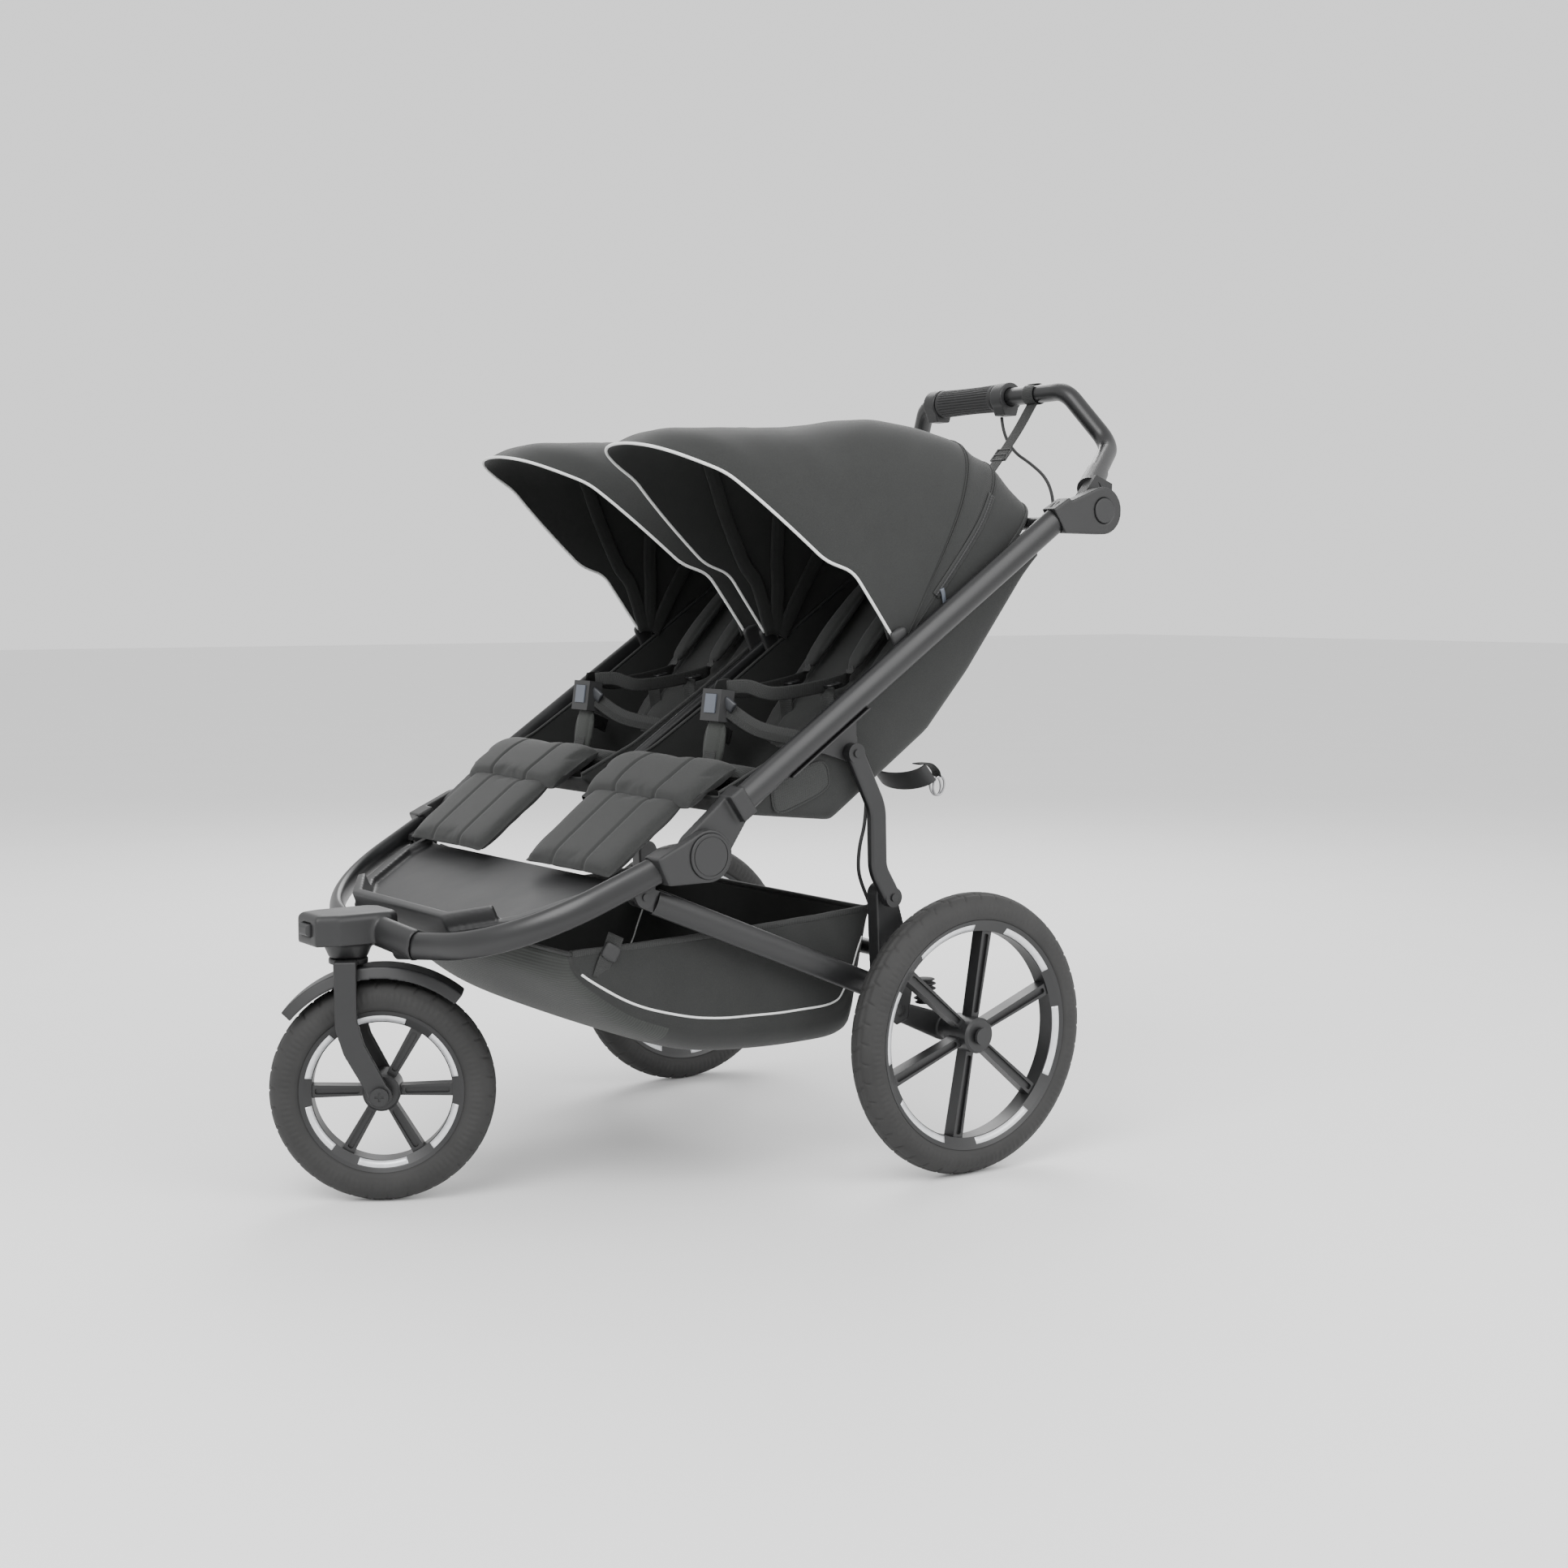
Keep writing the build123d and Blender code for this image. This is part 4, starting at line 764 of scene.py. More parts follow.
def edge_seam(x, y, width, length, inset=10.0, depth=2.6):
    """A furrow at a set distance in from the pad's outline."""
    inside = np.minimum(width / 2 - np.abs(x), length / 2 - np.abs(y))
    return seam(inside - inset, depth, 2.6)


def onto_line(line, middle_x):
    """Carries a pad's flat frame onto a line in the (y, z) plane: second number along it, third off it."""
    line = np.asarray(line, float)
    steps = np.r_[0, np.cumsum(np.linalg.norm(np.diff(line, axis=0), axis=1))]
    tangent = np.gradient(line, axis=0)
    tangent /= np.linalg.norm(tangent, axis=1)[:, None]

    def move(flat):
        s = flat[:, 1] + steps[-1] / 2
        over = s - np.clip(s, 0, steps[-1])
        y, z = np.interp(s, steps, line[:, 0]), np.interp(s, steps, line[:, 1])
        ty, tz = np.interp(s, steps, tangent[:, 0]), np.interp(s, steps, tangent[:, 1])
        off = flat[:, 2]
        return np.stack([middle_x + flat[:, 0], y + over * ty - tz * off, z + over * tz + ty * off], 1)

    return move


def on_back(along, out):
    """A point (y, z) on the backrest: along it from its hinge, and out from its back face."""
    return BACK_PIVOT + BACK_DIR * along + BACK_OUT * out


class STROLLER_OT_pads(bpy.types.Operator):
    """Seat cushions, backrests, leg-rest pads, shoulder pads and crotch pads"""

    bl_idname = "stroller.pads"
    bl_label = "Pads"

    def execute(self, context):
        cap = context.scene.stroller_sizes.pad_cap
        roll_line = smooth_line([(-112, 526), (-80, 552), (-46, 574), (-14, 584)], 16)
        roll = pad("roll", (282, 108, 20, 0.08, 0.35), onto_line(roll_line, SEAT_X), lambda x, y: (
            seam(np.abs(x) - 48 - 10 * np.cos(y / 32), 3.2) + edge_seam(x, y, 282, 108, 8, 1.2)),
            FINISH["pad"], cap * 0.7)
        on_both_seats(roll, "seat_front_roll", "upper_frame", folding=True)
        cushion_line = smooth_line([(-40, 570), (0, 566), (50, 556), (100, 544), (138, 546)], 24)
        cushion = pad("cushion", (278, 190, 22, 0.14, 0.35), onto_line(cushion_line, SEAT_X), lambda x, y: (
            edge_seam(x, y, 278, 190, 14, 1.8) + seam(np.abs(x) - 52 - 8 * np.cos(y / 34), 2.4)),
            FINISH["pad_net"], cap * 0.7)
        on_both_seats(cushion, "seat_cushion", "upper_frame")
        back_line = [on_back(20, 10), on_back(446, 10)]
        back = pad("back", (252, 420, 17), onto_line(even_steps(back_line, 20), SEAT_X), lambda x, y: (
            edge_seam(x, y, 252, 420, 14) + seam(np.abs(x) - 62, 3.5) + seam(y - 96 - 6 * np.cos(x / 34), 3.5)
            + seam(y + 110, 3.0)), FINISH["pad"], cap * 0.6)
        on_both_seats(back, "back_pad", "backrest_{}", "backrest_{}")
        lean = math.radians(38)
        middle = np.array([-146.0, 498.0])
        leg_dir = np.array([math.cos(lean), math.sin(lean)])
        leg_line = even_steps([middle - leg_dir * 86, middle + leg_dir * 74], 12)
        leg = pad("leg", (238, 160, 16, 0.06, 0.3), onto_line(leg_line, SEAT_X), lambda x, y: (
            edge_seam(x, y, 238, 160, 9, 1.5) + seam(np.abs(x) - 42, 2.2)), FINISH["pad"], cap * 0.5)
        on_both_seats(leg, "legrest_cushion", "front_frame", "legrest_pad_{}")
        for end, offset in (("inner", -52), ("outer", 52)):
            strap_line = [on_back(152, 38), on_back(220, 40), on_back(328, 36)]
            shoulder = pad(end, (42, 176, 13, 0.6), onto_line(smooth_line(strap_line, 16), SEAT_X + offset),
                           lambda x, y: edge_seam(x, y, 42, 176, 6, 1.6), FINISH["pad"], cap * 0.4, 0.004)
            on_both_seats(shoulder, f"shoulder_pad_{end}", "backrest_{}", "harness_{}")
        crotch_line = smooth_line([(20, 570), (24, 600), (31, 640)], 12)
        crotch = pad("crotch", (50, 76, 12, 0.5), onto_line(crotch_line, SEAT_X),
                     lambda x, y: edge_seam(x, y, 50, 76, 7, 1.8), FINISH["crotch"], cap * 0.4, 0.004)
        on_both_seats(crotch, "crotch_pad", "upper_frame")
        return {"FINISHED"}


# ---- fabric seats ----
SEAT_TOP = [(-66, 552), (20, 592), (140, 670), (300, 782), (440, 880), (478, 868)]
SEAT_LOW = [(-66, 546), (-30, 521), (126, 504), (286, 616), (358, 698), (456, 832), (478, 862)]


def arch(power, half, height, count):
    """Half a superellipse at even steps: (across from 1 to -1, share of the way from the feet to the top)."""
    a = np.linspace(0, math.pi, 1500)
    c, e = np.cos(a), 2 / power
    curve = np.stack([np.sign(c) * np.abs(c) ** e * half, np.abs(np.sin(a)) ** e * height], 1)
    steps = even_steps(curve, count)
    return steps[:, 0] / half, steps[:, 1] / height


def slung(top, low, half, power, rows, cols, depth):
    """A sling: across each section from the top edge down one side, over the bottom and up the other.

    Each section is half a superellipse whose feet are on the top edge and whose middle is on the low line.
    """
    across, share = arch(power, half, depth, cols)
    top, low = even_steps(top, rows)[:, None], even_steps(low, rows)[:, None]
    yz = top + (low - top) * share[None, :, None]
    return np.concatenate([np.broadcast_to(across[None, :, None] * half, (rows, cols, 1)), yz], 2)


def sheet_from(name, grid, middle_x, material, bands=None):
    """An open sheet from a grid of design points centred on x = 0, its bands giving each row's material."""
    points = (grid + np.array([middle_x, 0, 0])).reshape(-1, 3)
    piece = mesh_object(name, points, quads(*grid.shape[:2]), material, grid_uv(grid), outward=False)
    if bands is not None:
        piece.data.polygons.foreach_set("material_index", np.asarray(bands, np.int32).ravel())
    return piece


def sheet_area(grid):
    """Area of a grid in square metres: half the cross product of each face's diagonals."""
    a, b = grid[1:, 1:] - grid[:-1, :-1], grid[1:, :-1] - grid[:-1, 1:]
    return float(np.linalg.norm(np.cross(a, b), axis=2).sum() / 2e6)


def declare_sheet(piece, grid):
    """Works out the sheet's cut, a rectangle as long as its middle line and as wide as its widest row, and
    its area, then hands back the sheet unchanged.
    """
    long = float(np.linalg.norm(np.diff(grid[:, grid.shape[1] // 2], axis=0), axis=1).sum() / 1000)
    wide = float(np.linalg.norm(np.diff(grid, axis=1), axis=2).sum(1).max() / 1000)
    area = sheet_area(grid)
    long = max(long, area / wide)
    return piece


class STROLLER_OT_seats(bpy.types.Operator):
    """Slung fabric seats with mesh windows and bound edges"""

    bl_idname = "stroller.seats"
    bl_label = "Seats"

    def execute(self, context):
        grid = slung(SEAT_TOP, SEAT_LOW, 149, 12, 72, 90, 130)
        for name, side in SIDES.items():
            x = side * SEAT_X
            shell = sheet_from(f"seat_sling_{name}", grid, x, FINISH["seat"])
            declare_sheet(shell, grid)
            bake(thicken(shell, 2.6))
            settle(shell, "upper_frame", f"seat_{name}")
            edge = np.concatenate([grid[:, 0], grid[::-1, -1]]) + np.array([x, 0, 0])
            halves = edge[: len(grid)], edge[len(grid) :]
            hem = [carried(even_steps(half, 70), oval(5, 5, 10), up=(1, 0, 0)) for half in halves]
            laid(f"seat_binding_{name}", hem, "webbing", "upper_frame")
            self.windows(name, x)
        return {"FINISHED"}

    @staticmethod
    def windows(name, x):
        """Mesh panels let into both sides of a seat, with a bound border: a rounded oblong grid."""
        panes, borders, count = [], [], 18
        for side in (-1, 1):
            u, v = np.meshgrid(np.linspace(-1, 1, count), np.linspace(-1, 1, count), indexing="ij")
            y = 62 + 46 * u * np.sqrt(1 - 0.3 * v**4) - 3 * v
            z = 553 + 22 * v * np.sqrt(1 - 0.3 * u**4) + 14 * u
            face = np.stack([np.full_like(y, x + side * 150.8), y, z], -1)
            panes.append(face)
            ring = np.concatenate([face[0], face[1:, -1], face[-1, -2::-1], face[-2:0:-1, 0]])
            ring = np.vstack([ring, ring[:1]])
            borders.append(carried(even_steps(ring, 64), oval(3.4, 3.4, 8), up=(1, 0, 0)))
        points = np.concatenate([p.reshape(-1, 3) for p in panes])
        faces = np.vstack([quads(count, count), quads(count, count, start=count**2)])
        uv = np.concatenate([grid_uv(p) for p in panes])
        pane = bake(thicken(mesh_object(f"seat_windows_{name}", points, faces, FINISH["net"], uv), 1.2))
        settle(pane, "upper_frame")
        laid(f"seat_window_binding_{name}", borders, "webbing", "upper_frame")


# ---- canopies ----
CANOPY_TOP = [(-124, 1006), (-60, 1030), (60, 1034), (180, 1046), (290, 1054), (392, 1030), (466, 988),
              (512, 944)]
CANOPY_RIM = [(214, 752), (150, 838), (106, 852), (-30, 966), (-124, 1006)]
CANOPY_REAR = [(246, 746), (300, 786), (420, 866), (512, 944)]
CANOPY_HALF = 152.0
BOWS = (0.0, 0.27, 0.52, 0.779, 0.87, 1.0)


def canopy_grid(rows, cols, sag, inset=0.0, stations=None):
    """Fan of bows round the hinge, from the front rim to the rear rail.

    Each bow goes from the hinge on one side over the roof to the other: its width is the superellipse's
    first number, its way from the hinge to the roof line the second. The first and last bows follow the
    rim's and the rear edge's own lines, whose lean fades out as the square of the distance from them.
    Between bows the cloth dips towards the hinge by the square of a sine.
    """
    s = np.linspace(0, 1, rows) if stations is None else np.asarray(stations, float)
    front_arch, rear_arch = (np.array(arch(power, CANOPY_HALF, 290, cols)) for power in (2.5, 4.0))
    across, share = front_arch[:, None] + (rear_arch - front_arch)[:, None] * s[None, :, None] ** 0.7
    roof = smooth_line(CANOPY_TOP, 800)
    at = s * 799
    top = np.stack([np.interp(at, np.arange(800), roof[:, k]) for k in (0, 1)], 1)[:, None]
    foot = (np.array(CANOPY_RIM[0]) * (1 - s[:, None]) + np.array(CANOPY_REAR[0]) * s[:, None])[:, None]
    r = share[..., None]

    def lean(line, low, high):
        curve = rounded_line(line, 400, 14)
        curve[0], curve[-1] = line[0], line[-1]
        on = np.stack([np.interp(share * 399, np.arange(400), curve[:, k]) for k in (0, 1)], -1)
        return on - (low + (high - low) * share[..., None])

    front = lean(CANOPY_RIM, np.array(CANOPY_RIM[0]), roof[0])
    rear = lean(CANOPY_REAR, np.array(CANOPY_REAR[0]), roof[-1])
    w = s[:, None, None]
    yz = foot + (top - foot) * r + (1 - w) ** 2 * front + w**2 * rear
    span = np.searchsorted(BOWS, np.clip(s, 1e-6, 1)) - 1
    starts, ends = np.array(BOWS)[span], np.array(BOWS)[span + 1]
    dip = np.sin(math.pi * (s - starts) / (ends - starts))[:, None] ** 2 * share**2
    wave = np.sin(across * 9 + s[:, None] * 31) * np.sin(s[:, None] * 17 + across * 4)
    inward = top - foot
    inward = inward / np.linalg.norm(inward, axis=2, keepdims=True)
    yz = yz - inward * ((sag * dip + inset + 0.8 * wave * share) * (share > 0.1))[..., None]
    x = across * (CANOPY_HALF - inset) - np.sign(across) * 2.0 * dip
    return np.concatenate([x[..., None], yz], 2)


def bow_up(path):
    """The way square to a bow's plane in (y, z)."""
    middle = path[len(path) // 2] - path[0]
    up = np.array([0.0, middle[2], -middle[1]])
    return up / np.linalg.norm(up)


class STROLLER_OT_canopies(bpy.types.Operator):
    """Canopies: one curved cloth each, with piping, bow sleeves, seams, a mesh band, zips and hinge shoes"""

    bl_idname = "stroller.canopies"
    bl_label = "Canopies"

    def execute(self, context):
        sizes = context.scene.stroller_sizes
        sag, pipe = sizes.canopy_sag * 1000, sizes.piping * 2000
        rows, cols = 121, 110
        grid = canopy_grid(rows, cols, sag)
        bands = np.zeros((rows - 1, cols - 1), int)
        middle = (np.arange(rows - 1) + 0.5) / (rows - 1)
        share = np.abs(np.linspace(-1, 1, cols - 1))
        bands[(middle > BOWS[4] - 0.028) & (middle < BOWS[4])] = (share < 0.93).astype(int)
        for name, side in SIDES.items():
            x = side * SEAT_X
            cloths = [FINISH["canopy"], FINISH["canopy_net"]]
            cloth = sheet_from(f"canopy_cloth_{name}", grid, x, cloths, bands)
            declare_sheet(cloth, grid)
            bake(thicken(cloth, 1.6, -1.0))
            self.fasten(cloth, name, "canopy_cloth", f"canopy_{name}")
            move = np.array([x, 0, 0])
            rim = canopy_grid(2, 160, sag, stations=[0, 0.01])[0] + move
            round_pipe = carried(rim, oval(pipe, pipe, 10), bow_up(rim))
            self.fasten(tube(f"canopy_piping_{name}", round_pipe, FINISH["piping"]), name, "piping_white")
            sleeves = []
            for bow in BOWS[1:4]:
                path = canopy_grid(2, 110, 0, 6.5, [bow, bow + 0.001])[0] + move
                sleeves.append(carried(path, oval(5.5, 22, 14, 3), bow_up(path)))
            sleeve = tube(f"canopy_bow_sleeves_{name}", sleeves, FINISH["canopy"])
            self.fasten(sleeve, name, "canopy_cloth")
            seams = []
            for bow in BOWS[3:5]:
                for shift in (-0.004, 0.004):
                    path = canopy_grid(2, 110, 0, -0.7, [bow + shift, bow + shift + 0.001])[0] + move
                    seams.append(carried(path, oval(1.3, 1.3, 6), bow_up(path)))
            low = canopy_grid(2, 110, 0, -0.4, [0.999, 1.0])[1] + move
            seams.append(carried(low, oval(3.2, 7, 10), bow_up(low)))
            self.fasten(tube(f"canopy_seams_{name}", seams, FINISH["webbing"]), name, "canopy_cloth")
            self.zips(name, move)
            self.shoes(name, x)
        return {"FINISHED"}

    @staticmethod
    def fasten(piece, name, slot, replaced=()):
        """Bakes the piece's place into its mesh and hides what it replaces."""
        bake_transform(piece)
        finish_piece(piece, replaced)

    def zips(self, name, move):
        """A zip down each side of the mesh band with its tape, teeth and pull."""
        whole = canopy_grid(2, 400, 0, -1.2, [BOWS[4], BOWS[4] + 0.001])[0] + move
        tapes, teeth, pulls = [], [], []
        for run in (whole[34:120], whole[-34:-120:-1]):
            up = np.array([1.0, 0, 0])
            tapes.append(carried(run, oval(13, 1.2, 10, 5), up))
            line = even_steps(run, 160)
            size = 1 + 0.28 * np.sign(np.sin(np.arange(160) * math.pi / 2 + 0.4))
            out = np.array([math.copysign(1.0, run[0, 0] - move[0]), 0, 0])
            teeth.append(carried(line + out * 0.9, oval(3.6, 2.2, 8, 4), up, size))
            start = run[6] + out * 2.4
            drop = start + np.array([[0, 0, 0], [0, 3, -8], [0, 5, -20], [0, 6, -30]])
            pulls.append(carried(smooth_line(drop, 14), oval(6, 2.4, 10, 4), (1, 0, 0),
                                 np.linspace(1.2, 0.8, 14)))
        for stem, parts, finish, slot in (
            ("tape", tapes, "webbing", "webbing"), ("teeth", teeth, "moulded", "moulded_black"),
            ("pull", pulls, "button", "buckle_grey"),
        ):
            self.fasten(tube(f"canopy_zip_{stem}_{name}", parts, FINISH[finish]), name, slot)

    @staticmethod
    def shoes(name, x):
        """Clips that hold the canopy's hinge on the rails: an oval carried up, waisted at its middle."""
        parts = []
        t = np.linspace(-1, 1, 22)
        for side in (-1, 1):
            path = np.array([x + side * 156.5, 230, 736]) + t[:, None] * np.array([0, -11, 26])
            waist = (1 - t**8) ** 0.5 * (0.86 + 0.14 * t**2) + 0.02
            parts.append(carried(path, oval(30, 9, 20, 4), (1, 0, 0), waist))
        laid(f"canopy_hinge_shoes_{name}", parts, "casting", "upper_frame")


# ---- harness ----
def ladder_lock(centre, along_way, width=30.0, length=20.0):
    """Slotted adjuster: two side bars and three cross bars, each a rounded bar carried along a short line."""
    a = np.asarray(along_way, float) / np.linalg.norm(along_way)
    x = np.array([1.0, 0, 0])
    half_a, half_x = a * length / 2, x * width / 2
    bars = [(centre + side * half_x, half_a, 3.4) for side in (-1, 1)]
    bars += [(centre + a * at * length, half_x, 3.2) for at in (-0.46, 0.0, 0.46)]
    return [carried(even_steps([middle - half, middle + half], 6), oval(thick, 3.6, 10, 3), np.cross(x, a))
            for middle, half, thick in bars]


class STROLLER_OT_harness(bpy.types.Operator):
    """Harness webbing, adjusters and buckle tongues on both seats"""

    bl_idname = "stroller.harness"
    bl_label = "Harness"

    def execute(self, context):
        wide = context.scene.stroller_sizes.webbing * 1000
        for name, side in SIDES.items():
            x = side * SEAT_X
            buckle = np.array([x, 30.0, 656.0])
            straps, locks, tongues = [], [], []
            for out in (-1, 1):
                top, slot = on_back(322, 38), on_back(352, 26)
                head = [(x + out * 52, *slot), (x + out * 52, *on_back(340, 36)), (x + out * 52, *top)]
                straps.append(strap(smooth_line(head, 14), wide, 2))
                low = on_back(160, 39)
                drop = [(x + out * 52, *low), (x + out * 50, *on_back(134, 40)), (x + out * 40, 104, 672),
                        (x + out * 27, 62, 682), (x + out * 15, 36, 681)]
                path = smooth_line(drop, 40)
                straps.append(strap(path, wide - 4, 2, (0.25, 0.35, 0.9)))
                locks += ladder_lock(path[9], path[10] - path[8], width=wide + 4)
                tail = path[9] + np.array([(out * a, b, c) for a, b, c in (
                    (0, -2, -2), (2, -5, -22), (5, 0, -52), (4, -3, -78))])
                straps.append(strap(smooth_line(tail, 24), wide - 4, 1.8, (0.8, 0.6, 0)))
                waist = [(x + out * 22, 32, 652), (x + out * 58, 58, 626), (x + out * 98, 96, 614),
                         (x + out * 128, 128, 606), (x + out * 141, 146, 600)]
                path = smooth_line(waist, 40)
                straps.append(strap(path, wide - 2, 2, (0, 0.3, 0.95)))
                tongue = np.array([[out * 20, 0, 6], [out * 27, 2, 2], [out * 33, 5, -3]]) + buckle
                tongues.append(carried(smooth_line(tongue, 8), oval(17, 6, 14, 4), (0, 1, 0)))
            crotch = [(x, 8, 560), (x, 17, 590), (x, 26, 622), (x, 31, 640)]
            straps.append(strap(smooth_line(crotch, 24), wide + 6, 2.2))
            webbing = tube(f"harness_webbing_{name}", straps, FINISH["webbing"])
            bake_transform(webbing)
            finish_piece(webbing)
            laid(f"harness_adjusters_{name}", locks, "moulded", f"backrest_{name}")
            laid(f"buckle_tongues_{name}", tongues, "buckle", "upper_frame")
        return {"FINISHED"}


# ---- basket ----
BASKET_TOP = [(-262, 352), (-140, 354), (-20, 358), (100, 364), (212, 372)]
BASKET_LOW = [(-262, 348), (-252, 312), (-204, 264), (-159, 232), (-100, 206), (-40, 189), (40, 181),
              (130, 179), (190, 184), (206, 210), (211, 300), (212, 368)]


class STROLLER_OT_basket(bpy.types.Operator):
    """Storage basket: a sagging shell with a ribbed stretch front, piped sides, bound edge and clip straps"""

    bl_idname = "stroller.basket"
    bl_label = "Basket"

    def execute(self, context):
        rows, cols = 110, 130
        low = smooth_line(BASKET_LOW, 400)
        grid = slung(BASKET_TOP, low, 284, 7, rows, cols, 170)
        across = grid[0, :, 0] / 284
        s = np.linspace(0, 1, rows)[:, None]
        sides = np.abs(across)[None] > 0.97
        fold = np.sin(s * 40 + across[None] * 3) * np.sin(s * 13 + 1) * 1.6
        grid[..., 0] += np.where(sides, np.sign(across)[None] * (fold - 2.5 * np.sin(math.pi * s)), 0)
        grid[..., 2] -= np.where(sides, 0, 4 * np.sin(math.pi * s) ** 2 * np.cos(across * 1.5)[None] ** 2) - 2
        bands = np.zeros((rows - 1, cols - 1), int)
        bands[: int(rows * 0.3), ~sides[0, :-1]] = 1
        bag = sheet_from("basket_bag", grid, 0, [FINISH["basket"], FINISH["stretch"]], bands)
        declare_sheet(bag, grid)
        bake(thicken(bag, 2.0, -1.0))
        settle(bag, "front_frame", "basket")
        hems = [carried(even_steps(grid[:, k], 90), oval(9, 6, 12, 3), (1, 0, 0)) for k in (0, -1)]
        corner = int(np.argmax(np.abs(across) < 0.995))
        for k in (0, -1):
            end = even_steps(grid[k], 120) + np.array([0, 0, 2.0])
            hems.append(carried(end, oval(7, 5, 12, 3), (0, 1, 0.3)))
        laid("basket_binding", hems, "webbing", "front_frame")
        pipes = []
        for k, out in ((corner, 1), (cols - 1 - corner, -1)):
            line = grid[6:-8, k] + np.array([out * 1.0, 0, -1.5])
            pipes.append(carried(even_steps(line, 120), oval(3.6, 3.6, 10), (1, 0, 0)))
        laid("basket_piping", pipes, "piping", "front_frame")
        clips, buckles = [], []
        t = np.linspace(-1, 1, 12)
        for side in (-1, 1):
            run = [(side * x, y, z) for x, y, z in (
                (283, -196, 372), (287, -205, 358), (287, -216, 338), (284, -222, 320))]
            clips.append(strap(smooth_line(run, 18), 22, 2, (0, 1, 0.4)))
            path = np.array([side * 288.5, -207, 352]) + t[:, None] * np.array([0, -6, -10])
            buckles.append(carried(path, oval(7, 24, 16, 4), (0, 1, 0), (1 - t**8) ** 0.5 + 0.02))
        laid("basket_clip_straps", clips, "webbing", "front_frame")
        laid("basket_clips", buckles, "moulded", "front_frame")
        return {"FINISHED"}


# ---- handlebar fittings, cables and suspension ----
UPPER_CABLE = [(20, 676, 1087.5), (26, 674, 1062), (60, 668, 1030), (118, 650, 1010), (176, 632, 984),
               (214, 612, 950), (236, 590, 912), (250, 560, 884)]
LOWER_CABLE = [(334, 168, 528), (333, 168, 500), (326, 163, 468), (316, 168, 436), (302, 184, 414),
               (291, 204, 388), (288, 220, 358), (287, 230, 328)]
BAR_Y, BAR_Z, BAR_R = 676.0, 1118.0, 14.0
GRIP_LOW, GRIP_HIGH, GRIP_R = -123.7, 15.7, 22.0


def spline_path(route):
    """Points on the smooth line of a NURBS curve, order 3, whose control points are the route's."""
    curve = bpy.data.curves.new("route", "CURVE")
    curve.dimensions = "3D"
    line = curve.splines.new("NURBS")
    line.points.add(len(route) - 1)
    line.points.foreach_set("co", np.c_[np.asarray(route, float), np.ones(len(route))].ravel())
    line.order_u = 3
    line.use_endpoint_u = True
    line.resolution_u = 14
    holder = linked("route", curve)
    bpy.context.view_layer.update()
    mesh = bpy.data.meshes.new_from_object(holder.evaluated_get(bpy.context.evaluated_depsgraph_get()))
    bpy.data.objects.remove(holder)
    return points_of(mesh).astype(float)


def cable(name, route, material, up):
    """A cable: a round section carried along the route's spline."""
    path = spline_path(route)
    piece = tube(name, carried(path, oval(5, 5, 14), up), material)
    return piece


def ribbed_sleeve(low, high, radius, ribs, rows=90, cols=180):
    """A turned sleeve along x: its radius drops by the ribs' depth wherever the sine round it is low, fading
    at two collars, and closes in to the bar at both ends."""
    t = np.linspace(0, 1, rows)[:, None]
    a = round_steps(cols)[None]
    body = smooth_step(t, 0.05, 0.08) * (1 - smooth_step(t, 0.92, 0.95))
    groove = (0.5 - 0.5 * np.cos(ribs * a)) ** 2
    waist = 1 - 0.05 * np.sin(math.pi * t)
    r = radius * waist - 1.6 * groove * body
    r = r * (1 - 0.22 * (1 - smooth_step(np.minimum(t, 1 - t), 0.0, 0.02)))
    x = np.broadcast_to(low + (high - low) * t, r.shape)
    return np.stack([x, BAR_Y + r * np.cos(a), BAR_Z + r * np.sin(a)], -1)


def turned(rows_z, radii, x, y, cols=40):
    """A profile of radii turned about an upright axis."""
    a = round_steps(cols)[None]
    r, z = np.asarray(radii, float)[:, None], np.asarray(rows_z, float)[:, None]
    return np.stack([x + r * np.cos(a), y + r * np.sin(a), np.broadcast_to(z, (len(radii), cols))], -1)


def softened(node, voxel, rounds, finish):
    """A casting whose corners flow into each other: a merged copy of the node in even voxels, smoothed."""
    source = frame["nodes"][node]
    mesh = source.data.copy()
    mended(mesh, 1e-5, outward=False)
    piece = linked(node + "_smooth", mesh)
    even = piece.modifiers.new("Even", "REMESH")
    even.mode, even.voxel_size = "VOXEL", voxel / 1000
    ease = piece.modifiers.new("Ease", "SMOOTH")
    ease.factor, ease.iterations = 0.6, rounds
    bake(piece)
    piece.data.materials.clear()
    piece.data.materials.append(FINISH[finish])
    piece.data.shade_smooth()
    return settle(piece, source["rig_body"], node)


class STROLLER_OT_castings(bpy.types.Operator):
    """Rounded castings and mouldings round the CAD joints"""

    bl_idname = "stroller.castings"
    bl_label = "Castings"

    def execute(self, context):
        for node, voxel, rounds in (
            ("caster_housing", 2.0, 6), ("fold_hinge_sockets", 1.6, 4), ("rail_fittings", 1.6, 3),
            ("handle_sockets", 1.6, 4), ("rear_housing_left", 1.6, 5), ("rear_housing_right", 1.6, 5),
            ("swing_arm_left", 1.6, 4), ("swing_arm_right", 1.6, 4), ("fork", 1.6, 4),
        ):
            softened(node, voxel, rounds, "casting")
        softened("footrest_tray", 2.2, 8, "moulded")
        softened("front_fender", 1.6, 4, "moulded")
        softened("brake_console", 1.4, 4, "moulded")
        return {"FINISHED"}


